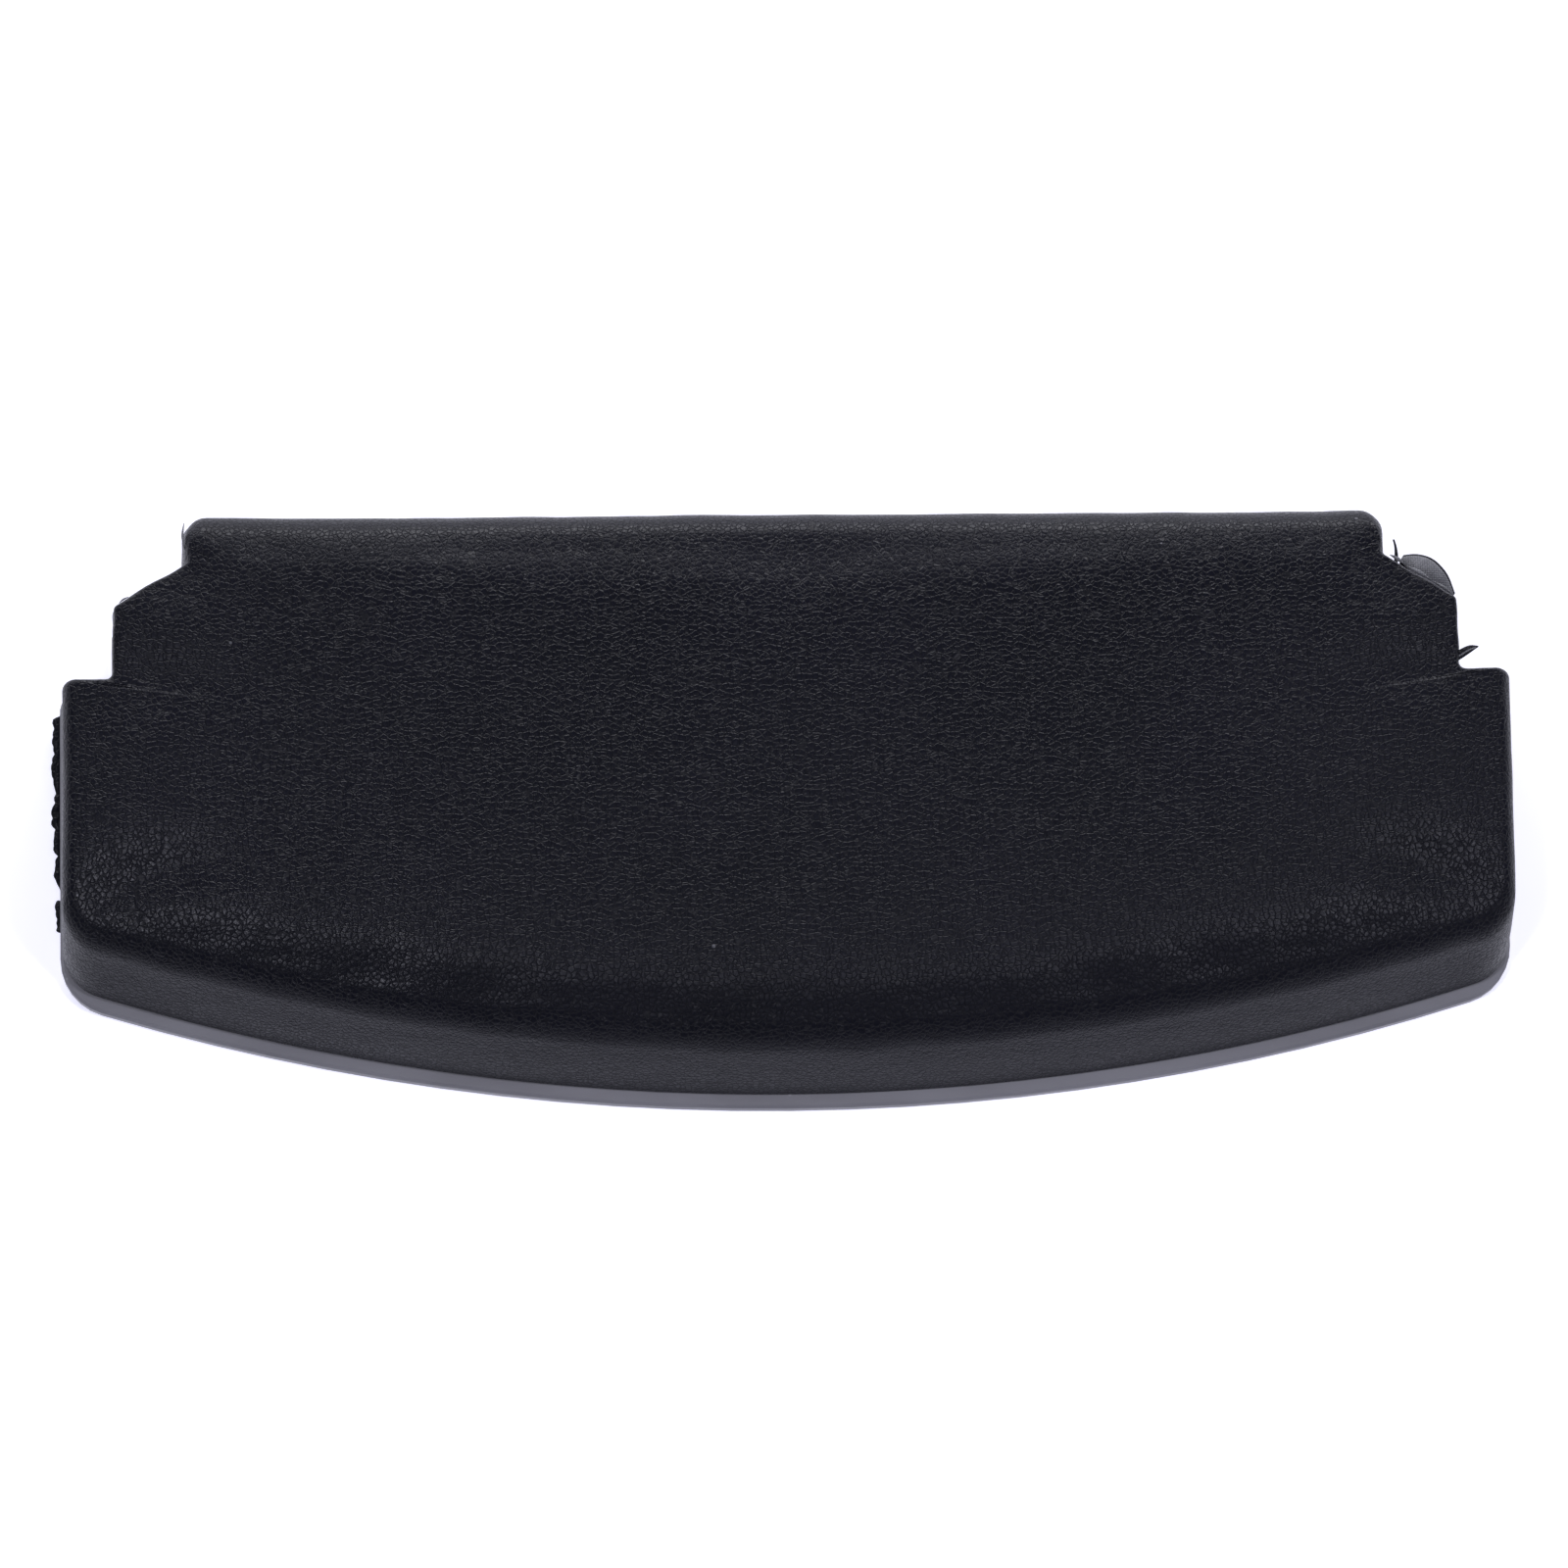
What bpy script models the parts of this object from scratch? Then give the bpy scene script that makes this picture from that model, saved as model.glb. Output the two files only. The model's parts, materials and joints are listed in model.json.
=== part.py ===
"""Chair armrest pad: a soft pad that bolts on top of a chair's arm.

A plywood board carries four tee nuts. Foam is wrapped over the board, and a leather-grain cover is
pulled over the foam, turned under the board and stapled there. A moulded base plate closes the
underside: it hides the hem and the staples and is held by six self-tapping screws.

Frame: +X along the pad, +Y towards its straight rear edge, +Z up. The origin is at the middle of
the footprint, on the underside of the base plate. Units are metres.
"""
import math

import bmesh
import bpy
from mathutils import Matrix, Vector

# ---- Overall size ------------------------------------------------------------------------------
PAD_LENGTH = 0.2445        # over the two sides of the cover, at its bottom edge
PAD_DEPTH = 0.0985         # cover, from the straight rear edge to the middle of the front bow
PAD_HEIGHT = 0.0262        # underside of the base plate to the rim of the flat top
CROWN = 0.0008             # how much the middle of the top stands above its rim
FRONT_RADIUS = 0.3900      # bow of the front edge

# ---- Notches at the two rear corners -------------------------------------------------------------
STEP_WIDTH = 0.0085        # step between the pad's side and the notch's shoulder
SHOULDER_DEPTH = 0.0112    # straight shoulder, along Y
CHAMFER_RUN = 0.0120       # slanted edge, along X
CHAMFER_DROP = 0.0075      # slanted edge, along Y
STRIP_DEPTH = 0.0092       # end of the rear strip, along Y

# ---- Corner radii of the cover's outline -----------------------------------------------------------
FRONT_CORNER_RADIUS = 0.0085
STEP_CORNER_RADIUS = 0.0020
INNER_CORNER_RADIUS = 0.0010
SHOULDER_CORNER_RADIUS = 0.0016
STRIP_CORNER_RADIUS = 0.0036
SMALLEST_CORNER_RADIUS = 0.0006

# ---- Section of the padded edge: (lean of the wall, depth of the roll) for each kind of edge -------
FRONT_EDGE = (0.0045, 0.0050)
SIDE_EDGE = (0.0008, 0.0045)
NOTCH_EDGE = (0.0003, 0.0020)
STRIP_END_EDGE = (0.0005, 0.0030)
REAR_EDGE = (0.0008, 0.0048)
ROLL_HEIGHT = 0.0065       # height of the roll that joins the walls to the top

# ---- Layers --------------------------------------------------------------------------------------
CONTACT_GAP = 0.0003       # kept between two pieces that touch
COVER_THICKNESS = 0.0012
HEM_WIDTH = 0.0120         # cover turned under the board, from the pad's edge
HEM_FOLD_RADIUS = 0.0010   # bottom fold of the cover
BOARD_THICKNESS = 0.0080
FOAM_WRAP = 0.0050         # foam between the cover and the board's edge

# ---- Base plate ------------------------------------------------------------------------------------
PLATE_FLOOR = 0.0020
PLATE_RIM_HEIGHT = 0.0032
PLATE_RIM_WIDTH = 0.0032
PLATE_CHAMFER = 0.0005
PLATE_RECESS = 0.0006      # shallow recess in the underside
PLATE_FOOT_WIDTH = 0.0070  # flat foot left round the recess
BOLT_PAD_RADIUS = 0.0110   # flat pads left in the recess, round each bolt and screw hole
SCREW_PAD_RADIUS = 0.0062
FRONT_LIP = 0.0013         # plate beyond the cover, along the front bow
SIDE_LIP = 0.0005          # plate beyond the cover, along the sides
REAR_LIP = 0.0002          # plate beyond the cover, along the rear and the notches
RIB_THICKNESS = 0.0014
RIB_HEIGHT = 0.0040
RIB_INSET = 0.0150         # ends of the cross ribs, from the pad's edge

# ---- Fasteners -------------------------------------------------------------------------------------
BOLT_SPACING_X = 0.1000
BOLT_SPACING_Y = 0.0360
BOLT_HOLE_RADIUS = 0.0034  # M6 bolt, clearance hole in the base plate
BOLT_BOSS_RADIUS = 0.0065
TEE_THREAD_RADIUS = 0.0030
TEE_BARREL_RADIUS = 0.0040
TEE_FLANGE_RADIUS = 0.0095
TEE_FLANGE_THICKNESS = 0.0012
TEE_BARREL_LENGTH = 0.0070
PRONG_LENGTH = 0.0050
PRONG_WIDTH = 0.0022
PRONG_THICKNESS = 0.0010
BOLT_TIP_ROOM = 0.0030     # hollow in the foam above each tee nut
FIT_CLEARANCE = 0.0003     # round every fastener that is pressed into board, foam or cover

SCREW_HEAD_RADIUS = 0.0034
SCREW_HEAD_HEIGHT = 0.0019
SCREW_SHANK_RADIUS = 0.0016
SCREW_LENGTH = 0.0100
SCREW_HEAD_RIM = 0.0003    # straight rim of the countersunk head
SCREW_SINK = 0.0002        # head below the plate's underside
SCREW_BOSS_RADIUS = 0.0050
SCREW_INSET = 0.0205       # screws, from the pad's edge
SCREW_END_DISTANCE = 0.0390  # outer screws, from the pad's sides
RECESS_WIDTH = 0.0009
RECESS_SPAN = 0.0038
RECESS_DEPTH = 0.0011

STAPLE_CROWN = 0.0100
STAPLE_LEG = 0.0075
STAPLE_WIRE_RADIUS = 0.0004
STAPLE_BEND_RADIUS = 0.0007
STAPLE_INSET = 0.0100      # staple row, from the pad's edge
STAPLE_END_ROOM = 0.0030   # from the notch's inner corner to the staple beside it
STAPLES_FRONT = 9
STAPLES_REAR = 5

# ---- Heights that follow from the layers -------------------------------------------------------------
HEM_BOTTOM = PLATE_RIM_HEIGHT + CONTACT_GAP
HEM_TOP = HEM_BOTTOM + COVER_THICKNESS
BOARD_BOTTOM = HEM_TOP + CONTACT_GAP
BOARD_TOP = BOARD_BOTTOM + BOARD_THICKNESS
FOAM_SHRINK = COVER_THICKNESS + CONTACT_GAP
BOARD_INSET = FOAM_SHRINK + FOAM_WRAP + CONTACT_GAP
WALL_TOP = PAD_HEIGHT - ROLL_HEIGHT
BOSS_HEIGHT = BOARD_BOTTOM - CONTACT_GAP
FLANGE_BOTTOM = BOARD_TOP + CONTACT_GAP
STAPLE_TOP = HEM_BOTTOM - CONTACT_GAP - 2 * STAPLE_WIRE_RADIUS + STAPLE_LEG
PLATE_DEPTH = PAD_DEPTH + FRONT_LIP + REAR_LIP
REAR_Y = PLATE_DEPTH / 2 - REAR_LIP
FRONT_Y = REAR_Y - PAD_DEPTH
BOW_CENTRE_Y = FRONT_Y + FRONT_RADIUS

# ---- Mesh density ------------------------------------------------------------------------------------
BOW_STEPS = 12
CORNER_STEPS = {"front": 6, "step": 3, "inner": 2, "shoulder": 2, "notch": 2, "strip": 4}
ROLL_STEPS = 5
CROWN_SCALES = (0.75, 0.45)
ROUND_STEPS = 20
HOLE_STEPS = 16
LEG_HOLE_STEPS = 6
SMOOTH_ANGLE = math.radians(35)

for old in list(bpy.data.objects):
    bpy.data.objects.remove(old, do_unlink=True)


def new_collection(name):
    collection = bpy.data.collections.new(name)
    bpy.context.scene.collection.children.link(collection)
    return collection


PARTS = new_collection("armrest_pad")
CUTTERS = new_collection("cutters")
ROOT = bpy.data.objects.new("armrest_pad_origin", None)
PARTS.objects.link(ROOT)


def add_object(name, data, collection=PARTS):
    obj = bpy.data.objects.new(name, data)
    collection.objects.link(obj)
    if collection is PARTS:
        obj.parent = ROOT
    else:
        obj.hide_render = True
        obj.display_type = "WIRE"
    return obj


def finish(obj, colour, roughness, metallic=0.0):
    """Give a piece its own plain material."""
    material = bpy.data.materials.new(obj.name)
    material.use_nodes = True
    shader = material.node_tree.nodes["Principled BSDF"]
    shader.inputs["Base Color"].default_value = (*colour, 1.0)
    shader.inputs["Roughness"].default_value = roughness
    shader.inputs["Metallic"].default_value = metallic
    obj.data.materials.clear()
    obj.data.materials.append(material)


def combine(obj, other, operation="DIFFERENCE"):
    modifier = obj.modifiers.new(other.name, "BOOLEAN")
    modifier.operation = operation
    modifier.solver = "EXACT"
    modifier.object = other


# ---- Outline -------------------------------------------------------------------------------------

def corner_arc(before, corner, after, radius, steps):
    """Points of a round corner, limited by the two edges that it joins."""
    to_before = before - corner
    to_after = after - corner
    half_angle = to_before.angle(to_after) / 2
    room = 0.45 * min(to_before.length, to_after.length)
    tangent = min(radius / math.tan(half_angle), room)
    start = corner + to_before.normalized() * tangent
    middle_line = (to_before.normalized() + to_after.normalized()).normalized()
    centre = corner + middle_line * (tangent / math.cos(half_angle))
    spoke = start - centre
    sweep = math.pi - 2 * half_angle
    if to_before.cross(to_after) > 0:
        sweep = -sweep
    turns = [sweep * step / steps for step in range(steps + 1)]
    return [centre + Matrix.Rotation(turn, 2) @ spoke for turn in turns]


def shrunk_radius(radius, inset, outward=True):
    """Radius of a corner after its edges move inwards."""
    moved = radius - inset if outward else radius + inset
    return max(moved, SMALLEST_CORNER_RADIUS)


def outline(front, side=None, notch=None, strip_end=None, rear=None):
    """Closed outline of the pad, anticlockwise from the middle of the front bow.

    The five arguments say how far each kind of edge lies inside the cover's bottom edge.
    """
    side = front if side is None else side
    notch = front if notch is None else notch
    strip_end = front if strip_end is None else strip_end
    rear = front if rear is None else rear
    side_x = PAD_LENGTH / 2 - side
    shoulder_x = PAD_LENGTH / 2 - STEP_WIDTH - notch
    strip_x = PAD_LENGTH / 2 - STEP_WIDTH - CHAMFER_RUN - strip_end
    rear_y = REAR_Y - rear
    slope = CHAMFER_DROP / CHAMFER_RUN
    chamfer_shift = notch * math.hypot(1.0, slope)
    chamfer_base_x = PAD_LENGTH / 2 - STEP_WIDTH - CHAMFER_RUN
    chamfer_base_y = REAR_Y - STRIP_DEPTH - chamfer_shift
    step_y = REAR_Y - STRIP_DEPTH - CHAMFER_DROP - SHOULDER_DEPTH - notch

    step_corner = Vector((side_x, step_y))
    inner_corner = Vector((shoulder_x, step_y))
    shoulder_corner = Vector((shoulder_x, chamfer_base_y - slope * (shoulder_x - chamfer_base_x)))
    notch_corner = Vector((strip_x, chamfer_base_y - slope * (strip_x - chamfer_base_x)))
    strip_corner = Vector((strip_x, rear_y))
    rear_middle = Vector((0.0, rear_y))

    bow_radius = FRONT_RADIUS - front
    corner_radius = shrunk_radius(FRONT_CORNER_RADIUS, min(front, side))
    corner_x = side_x - corner_radius
    corner_y = BOW_CENTRE_Y - math.sqrt((bow_radius - corner_radius) ** 2 - corner_x ** 2)
    bow_angle = math.atan2(corner_x, BOW_CENTRE_Y - corner_y)

    half = []
    for step in range(1, BOW_STEPS):
        angle = bow_angle * step / BOW_STEPS
        half.append(Vector((bow_radius * math.sin(angle), BOW_CENTRE_Y - bow_radius * math.cos(angle))))
    steps = CORNER_STEPS["front"]
    for step in range(steps + 1):
        angle = bow_angle - math.pi / 2 + (math.pi / 2 - bow_angle) * step / steps
        half.append(Vector((corner_x + corner_radius * math.cos(angle),
                            corner_y + corner_radius * math.sin(angle))))
    side_start = Vector((side_x, corner_y))
    half += corner_arc(side_start, step_corner, inner_corner,
                       shrunk_radius(STEP_CORNER_RADIUS, notch), CORNER_STEPS["step"])
    half += corner_arc(step_corner, inner_corner, shoulder_corner,
                       shrunk_radius(INNER_CORNER_RADIUS, notch, outward=False), CORNER_STEPS["inner"])
    half += corner_arc(inner_corner, shoulder_corner, notch_corner,
                       shrunk_radius(SHOULDER_CORNER_RADIUS, notch), CORNER_STEPS["shoulder"])
    half += corner_arc(shoulder_corner, notch_corner, strip_corner,
                       shrunk_radius(INNER_CORNER_RADIUS, notch, outward=False), CORNER_STEPS["notch"])
    half += corner_arc(notch_corner, strip_corner, rear_middle,
                       shrunk_radius(STRIP_CORNER_RADIUS, min(strip_end, rear)), CORNER_STEPS["strip"])

    front_middle = Vector((0.0, FRONT_Y + front))
    mirrored = [Vector((-point.x, point.y)) for point in reversed(half)]
    return [front_middle] + half + [rear_middle] + mirrored


def ring(height, *insets):
    return [Vector((point.x, point.y, height)) for point in outline(*insets)]


def padded_wall(shrink, bottom):
    """Rings of the padded edge and the crowned top, from the bottom up, moved inwards by shrink."""
    edges = (FRONT_EDGE, SIDE_EDGE, NOTCH_EDGE, STRIP_END_EDGE, REAR_EDGE)
    foot = HEM_BOTTOM + HEM_FOLD_RADIUS
    rings = []
    for share in (0.0, 0.5):
        height = bottom + share * (WALL_TOP - bottom)
        lean = max(height - foot, 0.0) / (WALL_TOP - foot)
        rings.append(ring(height, *[shrink + wall * lean ** 1.4 for wall, roll in edges]))
    for step in range(ROLL_STEPS + 1):
        angle = math.pi / 2 * step / ROLL_STEPS
        height = WALL_TOP + (ROLL_HEIGHT - shrink) * math.sin(angle)
        insets = []
        for wall, roll in edges:
            insets.append(shrink + wall + (roll - shrink) * (1 - math.cos(angle)))
        rings.append(ring(height, *insets))
    rim = rings[-1]
    for scale in CROWN_SCALES:
        rise = CROWN * (1 - scale ** 2)
        rings.append([Vector((p.x * scale, p.y * scale, p.z + rise)) for p in rim])
    return rings


def loft(name, rings):
    """Closed solid through rings of equal length, with a flat cap on the first and on the last."""
    build = bmesh.new()
    rows = [[build.verts.new(point) for point in points] for points in rings]
    count = len(rows[0])
    for lower, upper in zip(rows, rows[1:]):
        for index in range(count):
            following = (index + 1) % count
            build.faces.new((lower[index], lower[following], upper[following], upper[index]))
    build.faces.new(list(reversed(rows[0])))
    build.faces.new(rows[-1])
    mesh = bpy.data.meshes.new(name)
    build.to_mesh(mesh)
    build.free()
    mesh.shade_smooth()
    mesh.set_sharp_from_angle(angle=SMOOTH_ANGLE)
    return add_object(name, mesh)


# ---- Shared solids ---------------------------------------------------------------------------------

def cylinder(name, radius, low, high, steps=HOLE_STEPS):
    """Upright cylinder on the Z axis, in the cutters' collection."""
    build = bmesh.new()
    bmesh.ops.create_cone(build, cap_ends=True, segments=steps, radius1=radius, radius2=radius,
                          depth=high - low, matrix=Matrix.Translation((0, 0, (low + high) / 2)))
    mesh = bpy.data.meshes.new(name)
    build.to_mesh(mesh)
    build.free()
    return add_object(name, mesh, CUTTERS)


def block(name, low, high):
    """Box between two corners, in the cutters' collection."""
    build = bmesh.new()
    low = Vector(low)
    high = Vector(high)
    size = high - low
    place = Matrix.Translation((low + high) / 2) @ Matrix.Diagonal((*size, 1.0))
    bmesh.ops.create_cube(build, size=1.0, matrix=place)
    mesh = bpy.data.meshes.new(name)
    build.to_mesh(mesh)
    build.free()
    return add_object(name, mesh, CUTTERS)


def turned(name, profile, closed, steps=ROUND_STEPS):
    """Solid of revolution about Z, in the cutters' collection.

    The profile is a list of radius and height; its outer side runs from the top down.
    """
    edges = [(index, index + 1) for index in range(len(profile) - 1)]
    if closed:
        edges.append((len(profile) - 1, 0))
    mesh = bpy.data.meshes.new(name)
    mesh.from_pydata([(radius, 0.0, height) for radius, height in profile], edges, [])
    obj = add_object(name, mesh, CUTTERS)
    turn = obj.modifiers.new("turn", "SCREW")
    turn.axis = "Z"
    turn.angle = math.tau
    turn.steps = steps
    turn.render_steps = steps
    turn.use_merge_vertices = True
    turn.merge_threshold = 0.000001
    return obj


def copies(source, places):
    """One cutter that holds a copy of the source at each place; the source is removed."""
    build = bmesh.new()
    depsgraph = bpy.context.evaluated_depsgraph_get()
    evaluated = bpy.data.meshes.new_from_object(source.evaluated_get(depsgraph))
    for place in places:
        start = len(build.verts)
        build.from_mesh(evaluated)
        build.verts.ensure_lookup_table()
        bmesh.ops.transform(build, matrix=place, verts=build.verts[start:])
    mesh = bpy.data.meshes.new(source.name + "_set")
    build.to_mesh(mesh)
    build.free()
    name = source.name + "_set"
    bpy.data.objects.remove(source, do_unlink=True)
    return add_object(name, mesh, CUTTERS)


def bow_rise(x):
    """How far the front bow has come back from its middle, at a distance from the middle."""
    return FRONT_RADIUS - math.sqrt(FRONT_RADIUS ** 2 - x ** 2)


def bolt_places():
    places = []
    for side_x in (-1, 1):
        for side_y in (-1, 1):
            places.append(Vector((side_x * BOLT_SPACING_X / 2, side_y * BOLT_SPACING_Y / 2, 0)))
    return places


def screw_places():
    places = []
    outer_x = PAD_LENGTH / 2 - SCREW_END_DISTANCE
    for x in (-outer_x, 0.0, outer_x):
        places.append(Vector((x, REAR_Y - SCREW_INSET, 0)))
        places.append(Vector((x, FRONT_Y + bow_rise(x) + SCREW_INSET, 0)))
    return places


def staple_places():
    """Position and direction of each staple's crown, along the hem."""
    places = []
    row_radius = FRONT_RADIUS - STAPLE_INSET
    row_end = PAD_LENGTH / 2 - STAPLE_INSET - FRONT_CORNER_RADIUS - STAPLE_CROWN
    for index in range(STAPLES_FRONT):
        x = row_end * (2 * index / (STAPLES_FRONT - 1) - 1)
        angle = math.asin(x / row_radius)
        places.append((Vector((x, BOW_CENTRE_Y - row_radius * math.cos(angle), 0)), angle))
    rear_end = PAD_LENGTH / 2 - STEP_WIDTH - CHAMFER_RUN - STAPLE_INSET - STAPLE_CROWN
    for index in range(STAPLES_REAR):
        x = rear_end * (2 * index / (STAPLES_REAR - 1) - 1)
        places.append((Vector((x, REAR_Y - STAPLE_INSET, 0)), 0.0))
    step_y = REAR_Y - STRIP_DEPTH - CHAMFER_DROP - SHOULDER_DEPTH - STAPLE_INSET
    side_x = PAD_LENGTH / 2 - STAPLE_INSET
    side_low = FRONT_Y + bow_rise(side_x) + STAPLE_INSET
    side_y = (side_low + step_y) / 2
    shoulder_x = side_x - STEP_WIDTH
    shoulder_y = step_y + STAPLE_CROWN / 2 + STAPLE_END_ROOM
    for side in (-1, 1):
        places.append((Vector((side * side_x, side_y, 0)), math.pi / 2))
        places.append((Vector((side * shoulder_x, shoulder_y, 0)), math.pi / 2))
    return places


def at(place, angle=0.0):
    return Matrix.Translation(place) @ Matrix.Rotation(angle, 4, "Z")


def staple_leg_cutter():
    """Bars that clear every staple's legs through the hem and into the board."""
    reach = STAPLE_CROWN / 2 - STAPLE_WIRE_RADIUS
    places = []
    for place, angle in staple_places():
        along = Matrix.Rotation(angle, 4, "Z") @ Vector((reach, 0, 0))
        places.append(at(place + along))
        places.append(at(place - along))
    leg = cylinder("staple_leg", STAPLE_WIRE_RADIUS + FIT_CLEARANCE, HEM_BOTTOM - STAPLE_WIRE_RADIUS,
                   STAPLE_TOP + FIT_CLEARANCE, LEG_HOLE_STEPS)
    return copies(leg, places)


# ---- Soft parts --------------------------------------------------------------------------------------

def make_cover(leg_cutter):
    """Cover: outer skin, bottom fold and the hem turned under the board, as one closed wall."""
    inner = list(reversed(padded_wall(COVER_THICKNESS, HEM_TOP)))
    hem = [ring(HEM_TOP, HEM_WIDTH), ring(HEM_BOTTOM, HEM_WIDTH), ring(HEM_BOTTOM, HEM_FOLD_RADIUS)]
    fold = HEM_FOLD_RADIUS * (1 - math.sqrt(0.5))
    hem.append(ring(HEM_BOTTOM + fold, fold))
    outer = padded_wall(0.0, HEM_BOTTOM + HEM_FOLD_RADIUS)
    cover = loft("cover", inner + hem + outer)
    combine(cover, leg_cutter)
    finish(cover, (0.014, 0.014, 0.018), 0.42)
    return cover


def make_foam(flange_cutter):
    """Foam: a block over the board that also wraps the board's edge."""
    roof = BOARD_TOP + CONTACT_GAP
    pocket = BOARD_INSET - CONTACT_GAP
    cavity = [ring(roof, pocket), ring(BOARD_BOTTOM, pocket)]
    foam = loft("foam_core", cavity + padded_wall(FOAM_SHRINK, BOARD_BOTTOM))
    combine(foam, flange_cutter)
    finish(foam, (0.80, 0.74, 0.52), 0.95)
    return foam


# ---- Board and its hardware ----------------------------------------------------------------------------

def make_board(barrel_cutter, prong_cutter, pilot_cutter, leg_cutter):
    """Plywood board: a flat outline with bores for the fasteners."""
    curve = bpy.data.curves.new("support_board", "CURVE")
    curve.dimensions = "2D"
    curve.fill_mode = "BOTH"
    curve.extrude = BOARD_THICKNESS / 2
    points = outline(BOARD_INSET)
    spline = curve.splines.new("POLY")
    spline.points.add(len(points) - 1)
    for slot, point in zip(spline.points, points):
        slot.co = (point.x, point.y, 0.0, 1.0)
    spline.use_cyclic_u = True
    flat = add_object("board_curve", curve, CUTTERS)
    flat.location.z = (BOARD_BOTTOM + BOARD_TOP) / 2
    bpy.context.view_layer.update()
    evaluated = flat.evaluated_get(bpy.context.evaluated_depsgraph_get())
    mesh = bpy.data.meshes.new_from_object(evaluated)
    build = bmesh.new()
    build.from_mesh(mesh)
    bmesh.ops.remove_doubles(build, verts=build.verts, dist=0.00001)
    build.to_mesh(mesh)
    build.free()
    board = add_object("support_board", mesh)
    board.matrix_world = flat.matrix_world
    bpy.data.objects.remove(flat, do_unlink=True)
    for cutter in (barrel_cutter, prong_cutter, pilot_cutter, leg_cutter):
        combine(board, cutter)
    finish(board, (0.55, 0.38, 0.22), 0.75)
    return board


def prong_places():
    """Middle of each prong on a tee nut, on a circle just inside the flange's edge."""
    circle = TEE_FLANGE_RADIUS - PRONG_THICKNESS / 2 - FIT_CLEARANCE
    return [(circle, math.pi / 4 + quarter * math.pi / 2) for quarter in range(4)]


def prong(name, grow, low, high):
    """Upright blade with its flat side facing the nut's axis."""
    depth = PRONG_THICKNESS / 2 + grow
    width = PRONG_WIDTH / 2 + grow
    return block(name, (-depth, -width, low), (depth, width, high))


def make_tee_nuts():
    """Tee nuts: threaded barrel, round flange and four prongs bent down into the board."""
    flange_top = FLANGE_BOTTOM + TEE_FLANGE_THICKNESS
    barrel_end = FLANGE_BOTTOM - TEE_BARREL_LENGTH
    edge = TEE_FLANGE_THICKNESS / 4
    profile = [
        (TEE_THREAD_RADIUS, flange_top),
        (TEE_FLANGE_RADIUS - edge, flange_top),
        (TEE_FLANGE_RADIUS, flange_top - edge),
        (TEE_FLANGE_RADIUS, FLANGE_BOTTOM),
        (TEE_BARREL_RADIUS, FLANGE_BOTTOM),
        (TEE_BARREL_RADIUS, barrel_end),
        (TEE_THREAD_RADIUS, barrel_end),
    ]
    places = [at((radius * math.cos(angle), radius * math.sin(angle), 0), angle)
              for radius, angle in prong_places()]
    blade = prong("tee_prong", 0.0, FLANGE_BOTTOM - PRONG_LENGTH,
                  FLANGE_BOTTOM + TEE_FLANGE_THICKNESS / 2)
    prongs = copies(blade, places)
    master = turned("tee_nut_master", profile, closed=True)
    combine(master, prongs, "UNION")
    mesh = solid_mesh(master, "tee_nut")
    for number, place in enumerate(bolt_places(), 1):
        nut = add_object(f"tee_nut_{number}", mesh)
        nut.location = place
        finish(nut, (0.62, 0.60, 0.52), 0.32, 1.0)


def solid_mesh(master, name):
    """Mesh of a master with its modifiers applied; the master is removed."""
    bpy.context.view_layer.update()
    evaluated = master.evaluated_get(bpy.context.evaluated_depsgraph_get())
    mesh = bpy.data.meshes.new_from_object(evaluated)
    mesh.name = name
    bpy.data.objects.remove(master, do_unlink=True)
    mesh.shade_smooth()
    mesh.set_sharp_from_angle(angle=SMOOTH_ANGLE)
    return mesh


def barrel_bores():
    bore = cylinder("barrel_bore", TEE_BARREL_RADIUS + FIT_CLEARANCE, 0.0, BOARD_TOP + CONTACT_GAP)
    return copies(bore, [at(place) for place in bolt_places()])


def prong_slots():
    slot = prong("prong_slot", FIT_CLEARANCE, FLANGE_BOTTOM - PRONG_LENGTH - FIT_CLEARANCE,
                 BOARD_TOP + CONTACT_GAP)
    places = []
    for place in bolt_places():
        for radius, angle in prong_places():
            offset = Vector((radius * math.cos(angle), radius * math.sin(angle), 0))
            places.append(at(place + offset, angle))
    return copies(slot, places)


def flange_pockets():
    """Stepped pockets in the foam: room for a flange, and for a bolt's tip above it."""
    pocket_top = FLANGE_BOTTOM + TEE_FLANGE_THICKNESS + CONTACT_GAP
    profile = [
        (0.0, pocket_top + BOLT_TIP_ROOM),
        (TEE_BARREL_RADIUS, pocket_top + BOLT_TIP_ROOM),
        (TEE_BARREL_RADIUS, pocket_top),
        (TEE_FLANGE_RADIUS + CONTACT_GAP, pocket_top),
        (TEE_FLANGE_RADIUS + CONTACT_GAP, BOARD_BOTTOM),
        (0.0, BOARD_BOTTOM),
    ]
    pocket = turned("flange_pocket", profile, closed=False)
    return copies(pocket, [at(place) for place in bolt_places()])


# ---- Screws ------------------------------------------------------------------------------------------

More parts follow.
